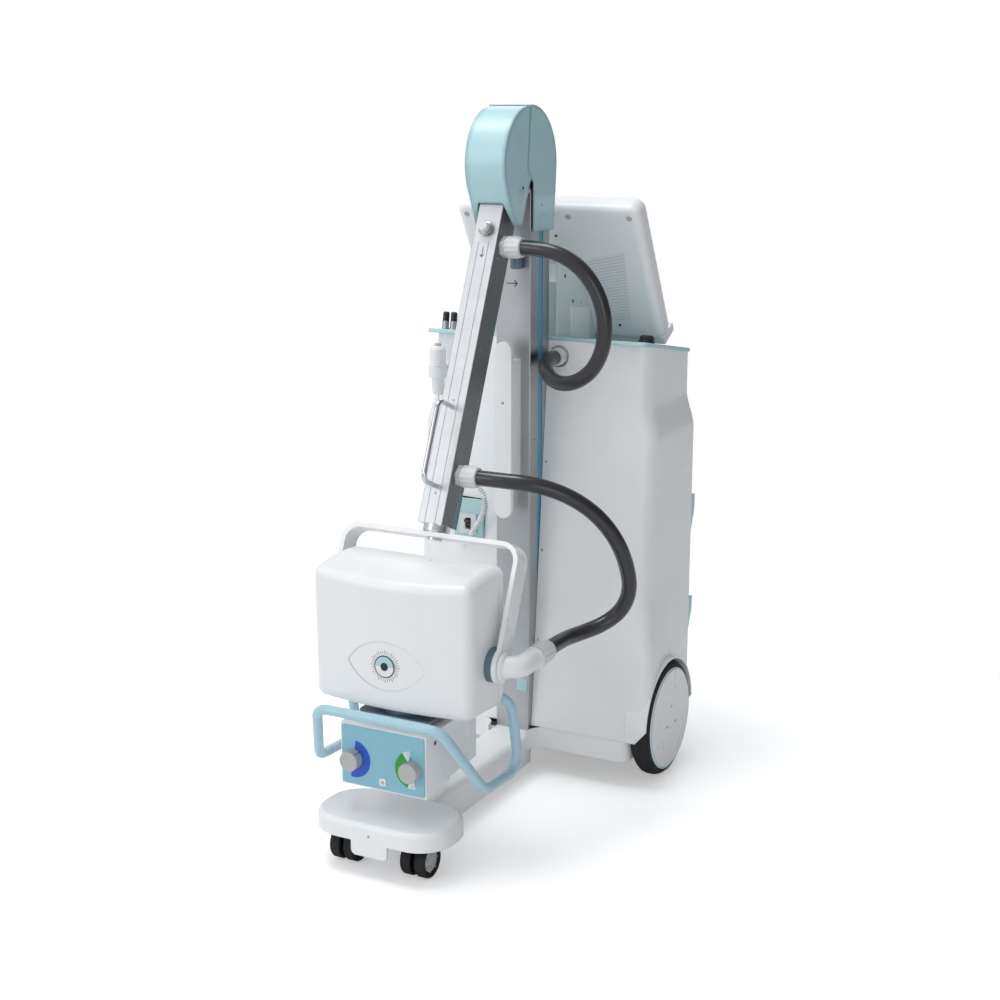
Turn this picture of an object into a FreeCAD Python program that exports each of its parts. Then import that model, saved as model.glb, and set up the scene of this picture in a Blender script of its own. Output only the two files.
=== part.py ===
import FreeCAD, Part
import math
import os
import re

import Sketcher
from FreeCAD import Placement, Rotation, Vector

os.makedirs("parts", exist_ok=True)
doc = FreeCAD.newDocument("mobile_xray_machine")

# Driving sizes in millimetres and degrees.
# Y is measured from the front face of the column, Z from the floor, X from the middle.
SIZES = {
    # column and its head
    "column_width": 88, "column_depth": 98, "column_wall": 4, "column_foot": 93,
    "strip_front": 41, "strip_rear": 64, "strip_deep": 3,
    "pivot_y": -13, "pivot_z": 1450, "pivot_above_column": 64, "axle_radius": 10,
    "ear_inner": 34, "ear_thick": 9, "ear_round": 27, "head_plate": 8,
    "cover_radius": 127, "cover_half": 52, "cover_wall": 2.5, "cover_gap": 0.5,
    "rear_cover_drop": 151, "front_cover_drop": 133,
    "hub_radius": 21.6, "spring_wire": 2.4, "spring_turns": 4,
    # arm
    "arm_lean": 23.4, "arm_width": 60, "arm_depth": 70, "arm_wall": 3.5, "arm_behind": 20,
    "arm_top": 50, "arm_end": 831, "collar_long": 16, "collar_radius": 29,
    "tube_radius": 24, "tube_top": 400, "tube_gap": 0.3,
    "lock_place": 172, "lock_radius": 11.5, "lock_travel": 8,
    "grip_top": 575, "grip_bottom": 751, "grip_rod": 5.5, "grip_reach": 64, "grip_bend": 18,
    "gland_upper": 200, "gland_lower": 717, "gland_long": 48, "gland_radius": 25, "slot_long": 82,
    "hose_radius": 17,
    # yoke
    "yoke_top": 848, "yoke_gap": 17, "yoke_thick": 10, "yoke_deep": 50, "yoke_corner": 42,
    "trunnion_place": 1104, "boss_radius": 38, "spindle_radius": 14, "running_gap": 0.05,
    # tube head, measured from the trunnion axis
    "head_half": 190, "head_front": 115, "head_rear": 70, "head_top": 200, "head_bottom": 110,
    "head_crown": 24, "head_round": 24, "head_wall": 4, "head_seam": 30,
    "eye_half": 93, "eye_rise": 53, "eye_deep": 1.5, "dial_radius": 24, "dial_thick": 3,
    "beam_y": -15, "swivel_radius": 62, "swivel_plate_half": 88,
    "bar_radius": 11, "bar_half": 150, "bar_out": 205, "bar_y": -147, "bar_z": -106,
    "bar_low_y": -62, "bar_low_z": -254, "bar_back_y": 95, "bar_back_z": -262,
    "bar_top_y": 62, "bar_top_z": -100, "bar_foot": 160, "bar_bend": 40,
    # collimator, measured from the trunnion axis
    "coll_half": 104, "coll_front": 127, "coll_back": 95, "coll_top": 133.7, "coll_low": 271.7,
    "panel_thick": 3, "knob_radius": 22, "knob_long": 22, "knob_x": 72, "knob_z": -211,
    "button_half": 8, "button_z": -251,
    # cabinet
    "cab_wall": 4, "cab_rear": 376, "cab_floor": 118, "cab_corner": 45, "cab_sweep": 32,
    "plate_half": 289.5, "plate_front": 104, "plate_top": 1052, "plate_deep": 284,
    "plate_thick": 9, "plate_slope": 9.5,
    "skirt_low": 66, "skirt_half": 294, "skirt_front": 13, "skirt_wall": 4,
    "cab_hole_x": 72, "cab_hole_z": 1008, "cab_hole_radius": 25,
    "rear_panel_half": 269.5, "rear_panel_low": 131, "rear_panel_top": 985,
    "rack_half": 285, "rack_reach": 446, "rack_sheet": 2.5,
    "rack_upper_low": 530, "rack_upper_top": 630, "rack_lower_low": 271, "rack_lower_top": 363,
    "push_y": 418, "push_z": 905, "push_radius": 14, "push_half": 190,
    # console on the top plate
    "console_half": 236, "console_long": 375, "console_thick": 45, "console_lean": 29,
    "console_foot_y": 336, "console_foot_z": 1020, "console_round": 18, "vent_count": 15,
    # wheels, leg and casters
    "wheel_radius": 140, "wheel_y": 160, "tyre_width": 46, "disc_radius": 123,
    "wheel_face": 348, "arch_gap": 4.5, "fender_thick": 4.5, "fender_face": 343,
    "leg_half": 50, "leg_top": 108, "leg_low": 30, "leg_wall": 4,
    "slot_front": 224, "slot_rear": 95,
    "slab_half": 160, "slab_front": 656, "slab_rear": 480, "slab_top": 118, "slab_low": 78,
    "slab_round": 76, "slab_wall": 4,
    "caster_x": 87, "caster_y": 606, "caster_trail": 14, "caster_radius": 37.5,
    "caster_inner": 5.5, "caster_outer": 29, "stem_radius": 6,
    # pads, switches and sockets
    "pad_low": 642, "pad_top": 1054, "pad_half": 22, "pad_face": 52, "pad_thick": 12,
    "switch_x": -240, "switch_y": 72, "switch_low": 897, "switch_top": 1016,
    "switch_radius": 15, "switch_head": 19, "holder_low": 940, "holder_top": 968,
    "breaker_x": -145, "breaker_z": 602, "breaker_half": 39, "breaker_tall": 101,
    "cord_radius": 7,
}

sheet = doc.addObject("Spreadsheet::Sheet", "sizes")
for row, (alias, number) in enumerate(SIZES.items(), start=1):
    sheet.set("A%d" % row, str(number))
    sheet.setAlias("A%d" % row, alias)
doc.recompute()


class Values:
    """The same sizes, read back from the sheet, for places and free forms."""

    def __getattr__(self, name):
        return float(sheet.get(name))


V = Values()
SEAT = 0.3
WORD = re.compile(r"[a-z_]+")
AXES = {"X": Rotation(Vector(0, 1, 0), 90), "Y": Rotation(Vector(1, 0, 0), -90), "Z": Rotation(),
        "-Y": Rotation(Vector(1, 0, 0), 90), "-Z": Rotation(Vector(1, 0, 0), 180)}
made = []


def linked(text):
    return WORD.sub(lambda m: "sizes." + m.group(0) if m.group(0) in SIZES else m.group(0), text)


def bind(thing, prop, value):
    if isinstance(value, str):
        thing.setExpression(prop, linked(value))
    else:
        thing.setExpression(prop, str(value))


def box(x0, x1, y0, y1, z0, z1):
    thing = doc.addObject("Part::Box", "block")
    for side, low, high, at in (("Length", x0, x1, "x"), ("Width", y0, y1, "y"), ("Height", z0, z1, "z")):
        bind(thing, side, "(%s)-(%s)" % (high, low))
        bind(thing, "Placement.Base." + at, "%s" % low)
    return thing


def rod(axis, start, end, u, v, radius):
    """A cylinder along one axis; u and v are its other two coordinates in X, Y, Z order."""
    thing = doc.addObject("Part::Cylinder", "rod")
    thing.Placement = Placement(Vector(), AXES[axis])
    bind(thing, "Radius", radius)
    bind(thing, "Height", "(%s)-(%s)" % (end, start))
    rest = [letter for letter in "XYZ" if letter != axis]
    for letter, value in zip([axis] + rest, (start, u, v)):
        bind(thing, "Placement.Base." + letter.lower(), "%s" % value)
    return thing


def prism(plane, outline, start, end):
    """A padded sketch. The outline's points are pairs of expressions in the named plane."""
    body = doc.addObject("PartDesign::Body", "body")
    sketch = body.newObject("Sketcher::SketchObject", "outline")
    origin = [item for item in body.Origin.OriginFeatures if item.Role == plane + "_Plane"][0]
    sketch.AttachmentSupport = [(origin, "")]
    sketch.MapMode = "FlatFace"
    draw(sketch, outline)
    pad = body.newObject("PartDesign::Pad", "pad")
    pad.Profile = sketch
    bind(pad, "Length", "(%s)-(%s)" % (end, start))
    offset = "-(%s)" % end if plane == "XZ" else "%s" % start
    bind(sketch, "AttachmentOffset.Base.z", offset)
    return body


def draw(sketch, outline):
    count = len(outline)
    for index in range(count):
        angle = 2 * math.pi * index / count
        after = 2 * math.pi * (index + 1) / count
        sketch.addGeometry(Part.LineSegment(Vector(10 * math.cos(angle), 10 * math.sin(angle), 0),
                                            Vector(10 * math.cos(after), 10 * math.sin(after), 0)), False)
    for index in range(count):
        sketch.addConstraint(Sketcher.Constraint("Coincident", index, 2, (index + 1) % count, 1))
    for index, point in enumerate(outline):
        for kind, value in zip(("DistanceX", "DistanceY"), point):
            rule = sketch.addConstraint(Sketcher.Constraint(kind, -1, 1, index, 1, 1.0))
            bind(sketch, "Constraints[%d]" % rule, value)


def turned(profile, axis="Z", at=(0, 0, 0)):
    """A revolved sketch. The profile's points are (radius, distance along the axis)."""
    body = doc.addObject("PartDesign::Body", "body")
    sketch = body.newObject("Sketcher::SketchObject", "profile")
    origin = [item for item in body.Origin.OriginFeatures if item.Role == "XZ_Plane"][0]
    sketch.AttachmentSupport = [(origin, "")]
    sketch.MapMode = "FlatFace"
    draw(sketch, profile)
    spin = body.newObject("PartDesign::Revolution", "spin")
    spin.Profile = sketch
    spin.ReferenceAxis = (sketch, ["V_Axis"])
    spin.Angle = 360
    body.Placement = Placement(Vector(), AXES[axis])
    for letter, value in zip("xyz", at):
        bind(body, "Placement.Base." + letter, value)
    return body


def formed(shape):
    thing = doc.addObject("Part::Feature", "form")
    thing.Shape = shape
    return thing


def fuse(*things):
    joined = doc.addObject("Part::MultiFuse", "joined")
    joined.Shapes = list(things)
    return joined


def group(*things):
    together = doc.addObject("Part::Compound", "group")
    together.Links = list(things)
    return together


def cut(base, *tools):
    left = doc.addObject("Part::Cut", "left")
    left.Base = base
    left.Tool = tools[0] if len(tools) == 1 else fuse(*tools)
    return left


def rounded(base, radius, chosen):
    """Rounds the edges of base that chosen accepts."""
    doc.recompute()
    picked = [(number, radius, radius) for number, edge in enumerate(base.Shape.Edges, start=1) if chosen(edge)]
    soft = doc.addObject("Part::Fillet", "soft")
    soft.Base = base
    soft.Edges = picked
    return soft


def mirrored(thing):
    other = doc.addObject("Part::Mirroring", "other")
    other.Source = thing
    other.Normal = Vector(1, 0, 0)
    return other


def keep(label, thing, place):
    """Names a finished sub-part and puts it in its place on the machine."""
    if thing.TypeId in ("PartDesign::Body", "Part::Box", "Part::Cylinder") or place_used(thing):
        thing = fuse_one(thing)
    thing.Label = label
    thing.Placement = place
    made.append(thing)
    return thing


def place_used(thing):
    return not thing.Placement.isIdentity()


def fuse_one(thing):
    held = doc.addObject("Part::Compound", "held")
    held.Links = [thing]
    return held


def upright(edge):
    ends = [vertex.Point for vertex in edge.Vertexes]
    return len(ends) == 2 and abs(ends[0].x - ends[1].x) + abs(ends[0].y - ends[1].y) < 1e-6


def at_height(level):
    return lambda edge: all(abs(vertex.Point.z - level) < 1e-6 for vertex in edge.Vertexes)


# The origin is on the floor under the middle of the machine's box.
column_face_y = (V.slab_front - V.rack_reach) / 2
BASE = Placement(Vector(0, column_face_y, 0), Rotation())
PIVOT = Placement(Vector(0, column_face_y + V.pivot_y, V.pivot_z), Rotation())
ARM = Placement(PIVOT.Base, Rotation(Vector(1, 0, 0), -V.arm_lean))
arm_axis_y = V.arm_behind - V.arm_depth / 2
trunnion = ARM.multVec(Vector(0, arm_axis_y, -V.trunnion_place))
HEAD = Placement(trunnion, Rotation())
PLATE = Placement(Vector(0, column_face_y + V.plate_front, V.plate_top), Rotation(Vector(1, 0, 0), -V.plate_slope))
CONSOLE = Placement(Vector(0, column_face_y + V.console_foot_y, V.console_foot_z),
                    Rotation(Vector(1, 0, 0), V.console_lean))


def on_arm(x, y, along):
    """A point of the arm's own frame, given in the machine's frame."""
    return ARM.multVec(Vector(x, y, -along))


def pipe(points, radius, bend=None):
    """A round tube on straight runs joined by tangent arcs; returns the solid and the radii."""
    edges, radii = [], []
    last = points[0]
    for index in range(1, len(points) - 1):
        here = points[index]
        back, ahead = points[index - 1] - here, points[index + 1] - here
        turn = math.pi - back.getAngle(ahead)
        size = bend or 0.45 * min(back.Length, ahead.Length) / math.tan(turn / 2)
        reach = size * math.tan(turn / 2)
        enter = here + back * (reach / back.Length)
        leave = here + ahead * (reach / ahead.Length)
        inward = back * (1 / back.Length) + ahead * (1 / ahead.Length)
        depth = size / math.cos(turn / 2) - size
        middle = here + inward * (depth / inward.Length)
        edges += [Part.LineSegment(last, enter).toShape(), Part.Arc(enter, middle, leave).toShape()]
        radii.append(size)
        last = leave
    edges.append(Part.LineSegment(last, points[-1]).toShape())
    spine = Part.Wire(edges)
    start = Part.Wire(Part.Circle(points[0], points[1] - points[0], radius).toShape())
    tube = spine.makePipeShell([start], True, False)
    return tube, radii, spine.Length


# Chassis

def chassis_frame():
    beam_half, stub_in = 34, 255
    beam = box(-beam_half, beam_half, "-545", "column_depth+30", 45, "column_foot")
    cross = box(-115, 115, "-640", "-540", 84, "column_foot")
    floor = box(-stub_in, stub_in, 100, 360, 60, 72)
    parts = [beam, cross, floor]
    holes = []
    for side in (-1, 1):
        low, high = sorted((side * 240, side * stub_in))
        parts.append(box(low, high, "wheel_y-30", "wheel_y+30", 60, 165))
        low, high = sorted((side * beam_half, side * 49.5))
        parts.append(box(low, high, "-slot_front", "-slot_rear", 47, 57))
        parts.append(rod("Z", "column_foot-4", "slab_top-slab_wall-0.3", "%d*60" % side, -600, 8))
        if side > 0:
            parts.append(rod("X", 250, "wheel_face-6", "wheel_y", "wheel_radius", "axle_radius"))
        else:
            parts.append(rod("X", "6-wheel_face", -250, "wheel_y", "wheel_radius", "axle_radius"))
        holes.append(rod("Z", 80, 100, "%d*caster_x" % side, "-caster_y", "stem_radius+running_gap"))
    keep("chassis_frame", cut(fuse(*parts), *holes), BASE)


def front_leg_cover():
    outer = rounded(box("-leg_half", "leg_half", "-slab_rear", 0, "leg_low", "leg_top"), 12,
                    lambda e: all(abs(v.Point.z - V.leg_top) < 1e-6 for v in e.Vertexes)
                    and abs(e.Vertexes[0].Point.y - e.Vertexes[1].Point.y) > 1)
    inner = box("leg_wall-leg_half", "leg_half-leg_wall", "-slab_rear-1", 1, "leg_low-1", "leg_top-leg_wall")
    slot = box("-leg_half-1", "leg_half+1", "-slot_front-0.5", "0.5-slot_rear", 46.5, 57.5)
    keep("front_leg_cover", cut(outer, inner, slot), BASE)


def caster_cover():
    outer = rounded(box("-slab_half", "slab_half", "-slab_front", "-slab_rear", "slab_low", "slab_top"),
                    V.slab_round, upright)
    outer = rounded(outer, 12, at_height(V.slab_top))
    tab = box(-44, 44, "-slab_front", "slab_wall-slab_front", 46, "slab_low+5")
    tab = rounded(fuse_one(tab), 12, lambda e: all(abs(v.Point.z - 46) < 1e-6 for v in e.Vertexes[:1])
                  and abs(e.Vertexes[0].Point.x - e.Vertexes[-1].Point.x) < 1e-6
                  and abs(e.Vertexes[0].Point.z - e.Vertexes[-1].Point.z) < 1e-6)
    inner = rounded(box("slab_wall-slab_half", "slab_half-slab_wall", "slab_wall-slab_front",
                        "-slab_rear-slab_wall", "slab_low-40", "slab_top-slab_wall"),
                    V.slab_round - V.slab_wall, upright)
    way = box(-34.5, 34.5, "-slab_rear-10", "1-slab_rear", "slab_low-1", "column_foot+0.5")
    keep("caster_cover", cut(fuse(outer, tab), inner, way), BASE)


def casters():
    for side, name in ((-1, "left"), (1, "right")):
        middle = "%d*caster_x" % side
        wheel_at = "caster_trail-caster_y"
        stem = rod("Z", "2*caster_radius+1", "column_foot", middle, "-caster_y", "stem_radius")
        disc = rod("Z", "2*caster_radius+1", "column_foot-9.3", middle, "-caster_y", 22)
        web = prism("YZ", [("-caster_y-16", "2*caster_radius+3"), ("-caster_y+18", "2*caster_radius+3"),
                           ("-caster_y+caster_trail+9", "caster_radius"),
                           ("-caster_y+caster_trail", "caster_radius-9"),
                           ("-caster_y+caster_trail-9", "caster_radius")],
                    middle + "-caster_inner+1", middle + "+caster_inner-1")
        pin = rod("X", middle + "-caster_outer", middle + "+caster_outer", wheel_at, "caster_radius", 4)
        keep("caster_fork_" + name, fuse(stem, disc, web, pin), BASE)
        wheels = []
        for way in (-1, 1):
            profile = [(4.05, "caster_inner"), (14, "caster_inner"), (16, "caster_inner+3"),
                       ("caster_radius-7", "caster_inner+3"), ("caster_radius-5", "caster_inner"),
                       ("caster_radius-2", "caster_inner"), ("caster_radius", "caster_inner+3"),
                       ("caster_radius", "caster_outer-3"), ("caster_radius-2", "caster_outer"),
                       ("caster_radius-6", "caster_outer"), ("caster_radius-8", "caster_outer-4"),
                       (13, "caster_outer-4"), (11, "caster_outer-1"), (4.05, "caster_outer-1")]
            points = [(r, "%d*(%s)" % (way, z)) for r, z in profile]
            wheels.append(turned(points, "X", (middle, wheel_at, "caster_radius")))
        keep("caster_wheels_" + name, group(*wheels), BASE)


def rear_wheels():
    """Solid tyres on flat dished discs; the right wheel is drawn and the left is its mirror."""
    rim = "disc_radius-9"
    inner, outer = "wheel_face-4-tyre_width", "wheel_face-4"
    tyre = [(rim, inner + "+6"), ("wheel_radius-9", inner), ("wheel_radius-2", inner + "+8"),
            ("wheel_radius", inner + "+17"), ("wheel_radius", inner + "+29"),
            ("wheel_radius-3", outer + "-9"), ("wheel_radius-9", outer + "-2"), ("disc_radius+1", outer),
            ("disc_radius+1", outer + "-5"), (rim, outer + "-5")]
    disc = [("axle_radius+running_gap", inner + "+4"), (26, inner + "+4"), (30, outer + "-12"),
            (rim + "-12", outer + "-12"), (rim + "-8", inner + "+8"), (rim + "-0.3", inner + "+8"),
            (rim + "-0.3", outer + "-4.7"), ("disc_radius", outer + "-4.7"), ("disc_radius", "wheel_face-3"),
            ("disc_radius-5", "wheel_face-1"), ("disc_radius*0.5", "wheel_face"), (0, "wheel_face"),
            (0, "wheel_face-5"), ("axle_radius+running_gap", "wheel_face-5")]
    at = (0, "wheel_y", "wheel_radius")
    for label, profile in (("rear_tyre", tyre), ("rear_wheel_disc", disc)):
        keep(label + "_right", turned(profile, "X", at), BASE)
        keep(label + "_left", mirrored(turned(profile, "X", at)), BASE)


# Cabinet

def eased(value):
    """Runs from 0 to 1 with level ends."""
    value = min(max(value, 0), 1)
    return value * value * (3 - 2 * value)


def cabinet_front(z):
    """Front line of the cabinet at a height."""
    up = z - V.cab_floor
    return 14 + 0.074 * up + 1.3e-5 * up ** 2 - 3 * eased(1 - up / 112)


def cabinet_ring(z, inset):
    """A level outline: swept-back front, round corners, straight sides and rear.

    It steps in above a soft shoulder and swells beside the wheels."""
    step = 20 * eased((z - 815) / 90)
    swell, tuck = eased((470 - z) / 185), 34 * eased((150 - z) / 32)
    front_half, rear_half = 307 - step + 35 * swell - tuck - inset, 303 - step - inset
    front, rear = cabinet_front(z) + inset, V.cab_rear - inset
    corner, sweep = V.cab_corner - 20 * swell - inset, V.cab_sweep - 29 * swell
    big = ((front_half - corner) ** 2 + sweep ** 2) / (2 * sweep)
    corner_y = front + big - math.sqrt((big - corner) ** 2 - (front_half - corner) ** 2)
    centre = Vector(0, front + big, z)
    knee = Vector(front_half - corner, corner_y, z)
    touch = centre + (knee - centre) * (big / (knee - centre).Length)
    side_angle = math.atan2(front_half - rear_half, rear - corner_y)
    side = knee + Vector(math.cos(side_angle), math.sin(side_angle), 0) * corner
    mid_angle = (math.atan2(touch.y - knee.y, touch.x - knee.x) + side_angle) / 2
    knee_mid = knee + Vector(math.cos(mid_angle), math.sin(mid_angle), 0) * corner

    def other(point):
        return Vector(-point.x, point.y, point.z)

    right_rear = Vector(side.x - math.tan(side_angle) * (rear - side.y), rear, z)
    edges = [Part.LineSegment(right_rear, side), Part.Arc(side, knee_mid, touch),
             Part.Arc(touch, Vector(0, front, z), other(touch)),
             Part.Arc(other(touch), other(knee_mid), other(side)),
             Part.LineSegment(other(side), other(right_rear)),
             Part.LineSegment(other(right_rear), right_rear)]
    return Part.Wire([edge.toShape() for edge in edges])


def cabinet_block(inset, low, high):
    levels = [low] + [126 + 8 * step for step in range(4)] + [220]
    levels += [285 + 20 * step for step in range(10)] + [560, 700]
    levels += [815 + 10 * step for step in range(10)] + [980, high]
    return formed(Part.makeLoft([cabinet_ring(z, inset) for z in levels], True, True))


def lid_space():
    """Everything above the underside of the sloping top plate."""
    space = box(-400, 400, -60, 400, "-plate_thick", 300)
    held = fuse_one(space)
    held.Placement = PLATE.multiply(Placement())
    held.Placement.Base = held.Placement.Base - Vector(0, column_face_y, 0)
    return held


WELL_FACE = "wheel_face-4-tyre_width-5"


def wheel_well():
    """A closed cup behind the wheel whose rim stands out as a fender; it narrows to the floor."""
    reach = "wheel_radius+arch_gap"
    below = prism("XZ", [(308, 110), (400, 110), (400, 152), ("fender_face+1", 152)], -60, 400)
    return cut(rod("X", WELL_FACE + "-3", "fender_face", "wheel_y", "wheel_radius", reach + "+fender_thick"),
               rod("X", WELL_FACE, 400, "wheel_y", "wheel_radius", reach),
               rod("X", WELL_FACE + "-4", 400, "wheel_y", "wheel_radius", 15),
               box(0, 400, -60, 500, -60, "cab_floor"), below)


def cabinet_shell():
    outer = cabinet_block(0, V.cab_floor, V.plate_top - 2)
    inner = cabinet_block(V.cab_wall, V.cab_floor - 8, V.plate_top + 6)
    arch = rod("X", WELL_FACE, 400, "wheel_y", "wheel_radius", "wheel_radius+arch_gap+1")
    tools = [
        box("-column_width/2-0.5", "column_width/2+0.5", -60, "column_depth+0.3", 100, 1060),
        box("-rear_panel_half-0.5", "rear_panel_half+0.5", "cab_rear-12", "cab_rear+5",
            "rear_panel_low-0.5", "rear_panel_top+0.5"),
        rod("Y", 60, 130, "cab_hole_x", "cab_hole_z", "cab_hole_radius"),
        box("breaker_x-breaker_half-0.3", "breaker_x+breaker_half+0.3", 20, 80,
            "breaker_z-breaker_tall/2-0.3", "breaker_z+breaker_tall/2+0.3"),
        box("switch_x-8.3", "switch_x+8.3", 80, 160, "holder_low+3.7", "holder_top-3.7"),
        arch, mirrored(arch),
        lid_space(),
    ]
    shell = cut(cut(outer, inner), *tools)
    well = wheel_well()
    keep("cabinet_shell", fuse(shell, well, mirrored(well)), BASE)


def cabinet_rear_panel():
    panel = box("-rear_panel_half", "rear_panel_half", "cab_rear-4", "cab_rear", "rear_panel_low", "rear_panel_top")
    slots = []
    for low in (200, 700):
        for step in range(8):
            z = low + 14 * step
            slots += [box(side - 90, side + 90, "cab_rear-5", "cab_rear+1", z, z + 5) for side in (-130, 130)]
    keep("cabinet_rear_panel", cut(panel, *slots), BASE)


def base_skirt():
    def outline(inset):
        half, front = V.skirt_half - inset, V.skirt_front + inset
        neck, flare, corner = V.leg_half + 0.5, 42, 26 - inset
        points = {"neck": Vector(neck, front - flare, 0), "flare": Vector(neck + flare, front, 0),
                  "turn": Vector(half - corner, front, 0), "side": Vector(half, front + corner, 0),
                  "rear": Vector(half, V.cab_rear - inset, 0)}
        bend = Vector(neck + flare * (1 - math.sqrt(0.5)), front - flare * (1 - math.sqrt(0.5)), 0)
        knee = Vector(half - corner * (1 - math.sqrt(0.5)), front + corner * (1 - math.sqrt(0.5)), 0)
        p = points

        def other(point):
            return Vector(-point.x, point.y, 0)

        right = [Part.Arc(p["neck"], bend, p["flare"]), Part.LineSegment(p["flare"], p["turn"]),
                 Part.Arc(p["turn"], knee, p["side"]), Part.LineSegment(p["side"], p["rear"])]
        left = [Part.LineSegment(other(p["rear"]), other(p["side"])),
                Part.Arc(other(p["side"]), other(knee), other(p["turn"])),
                Part.LineSegment(other(p["turn"]), other(p["flare"])),
                Part.Arc(other(p["flare"]), other(bend), other(p["neck"]))]
        edges = right + [Part.LineSegment(p["rear"], other(p["rear"]))] + left
        edges.append(Part.LineSegment(other(p["neck"]), p["neck"]))
        return Part.Face(Part.Wire([edge.toShape() for edge in edges]))

    tall = V.cab_floor - V.skirt_low - SEAT
    outer = outline(0).extrude(Vector(0, 0, tall))
    inner = outline(V.skirt_wall).extrude(Vector(0, 0, tall + 2))
    inner.translate(Vector(0, 0, -1))
    outer.translate(Vector(0, 0, V.skirt_low))
    inner.translate(Vector(0, 0, V.skirt_low))
    way = box("-leg_half-0.3", "leg_half+0.3", -60, "skirt_front+37", 0, 200)
    keep("base_skirt", cut(formed(outer), formed(inner), way), BASE)


def top_plate():
    plate = rounded(box("-plate_half", "plate_half", 0, "plate_deep", "-plate_thick", 0), 14, upright)
    keep("top_plate", rounded(plate, 2.5, at_height(0)), PLATE)


def cable_sockets():
    cap = turned([(0, 0.3), (19, 0.3), (19, 6), (17, 7), (17, 15), (13, 19), (0, 19)], "Z", (246, 100, 0))
    posts = [turned([(0, 0.3), (9, 0.3), (9, 4), (5, 5), (5, 20), (8, 21), (8, 40), (6, 44), (0, 44)],
                    "Z", (x, 62, 0)) for x in (-272, -250)]
    keep("cable_sockets", group(cap, *posts), PLATE)


def console_shell():
    body = rounded(box("-console_half", "console_half", 0, "console_thick", 0, "console_long"),
                   26, lambda e: abs(e.Vertexes[0].Point.y - e.Vertexes[-1].Point.y) > 1)
    body = rounded(body, V.console_round, lambda e: all(abs(v.Point.y) < 1e-6 for v in e.Vertexes))
    face = box("-console_half+28", "console_half-28", "console_thick-6", "console_thick+1", 34, "console_long-34")
    ribs = []
    for step in range(int(V.vent_count)):
        z = 78 + 7.5 * step
        ribs += [box(low, low + 75, -1, 1.6, z, z + 3.5) for low in (80, -155)]
    keep("console_shell", cut(body, face, *ribs), CONSOLE)


def display_screen():
    glass = box("-console_half+28.3", "console_half-28.3", "console_thick-5.7", "console_thick-0.5",
                34.3, "console_long-34.3")
    glass = rounded(fuse_one(glass), 6, lambda e: abs(e.Vertexes[0].Point.y - e.Vertexes[-1].Point.y) > 1)
    keep("display_screen", glass, CONSOLE)


def console_stand():
    lean = math.radians(V.console_lean)
    slope = math.tan(math.radians(V.plate_slope))

    def under(y):
        return V.plate_top - slope * (y - V.plate_front) + SEAT

    def behind(v):
        return Vector(0, V.console_foot_y - v * math.sin(lean) - SEAT, V.console_foot_z + v * math.cos(lean))

    foot = V.console_foot_y - 14
    corners = [Vector(0, 200, under(200)), Vector(0, foot, under(foot)), behind(22), behind(215),
               Vector(0, 200, behind(215).z - 40)]
    sheet_face = Part.Face(Part.makePolygon(corners + corners[:1]))
    block = sheet_face.extrude(Vector(120, 0, 0))
    block.translate(Vector(-60, 0, 0))
    keep("console_stand", cut(formed(block), rod("X", -70, 70, "console_foot_y-74", "console_foot_z+80", 12)), BASE)


def push_handle():
    bar = rod("X", "-push_half", "push_half", "push_y", "push_z", "push_radius")
    parts = [rounded(fuse_one(bar), 6, lambda e: len(e.Vertexes) == 1)]
    for side in (-1, 1):
        x = "%d*(push_half-30)" % side
        parts.append(rod("Y", "cab_rear+0.3", "push_y", x, "push_z", 9))
        parts.append(rod("Y", "cab_rear+0.3", "cab_rear+6", x, "push_z", 22))
    keep("push_handle", fuse(*parts), BASE)


def cassette_rack():
    """A guide above and a tray below, bent from sheet, that hold a flat cassette on the rear panel."""
    racks = []
    for low, top, floor in (("rack_upper_low", "rack_upper_top", False), ("rack_lower_low", "rack_lower_top", True)):
        def profile(inset, bottom, head):
            near, far = "cab_rear+0.3+%s" % inset, "rack_reach-%s" % inset
            return [(near, bottom), (far + "-26", bottom), (far, low + "+60"), (far, head), (near, head)]

        outer = prism("YZ", profile("0", low, top), "-rack_half", "rack_half")
        bottom = low + "+rack_sheet" if floor else low + "-1"
        inner = prism("YZ", profile("rack_sheet", bottom, top + "+1"), "rack_sheet-rack_half", "rack_half-rack_sheet")
        racks.append(cut(outer, inner))
    keep("cassette_rack", group(*racks), BASE)


def power_unit():
    tank = rounded(box("104-skirt_half", "skirt_half-104", "column_depth+32", "cab_rear-41", 72.3, 400), 10, upright)
    store = rounded(box("144-skirt_half", "skirt_half-144", "column_depth+42", "cab_rear-56", 400.3, 590), 8, upright)
    keep("power_unit", group(tank, store), BASE)


# Column and head

def column_profile():
    half = "column_width/2"
    outer = rounded(box("-" + half, half, 0, "column_depth", "column_foot", "pivot_z-pivot_above_column"), 3, upright)
    inner = box("column_wall-" + half, half + "-column_wall", "column_wall", "column_depth-column_wall",
                "column_foot-1", "pivot_z-pivot_above_column+1")
    groove_top = "pivot_z-pivot_above_column+4"
    grooves = [box(half + "-strip_deep", half + "+1", "strip_front", "strip_rear", "column_foot-1", groove_top),
               box("-" + half + "-1", "-" + half + "+strip_deep", "strip_front", "strip_rear", "column_foot-1", groove_top)]
    keep("column_profile", cut(outer, inner, *grooves), BASE)


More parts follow.
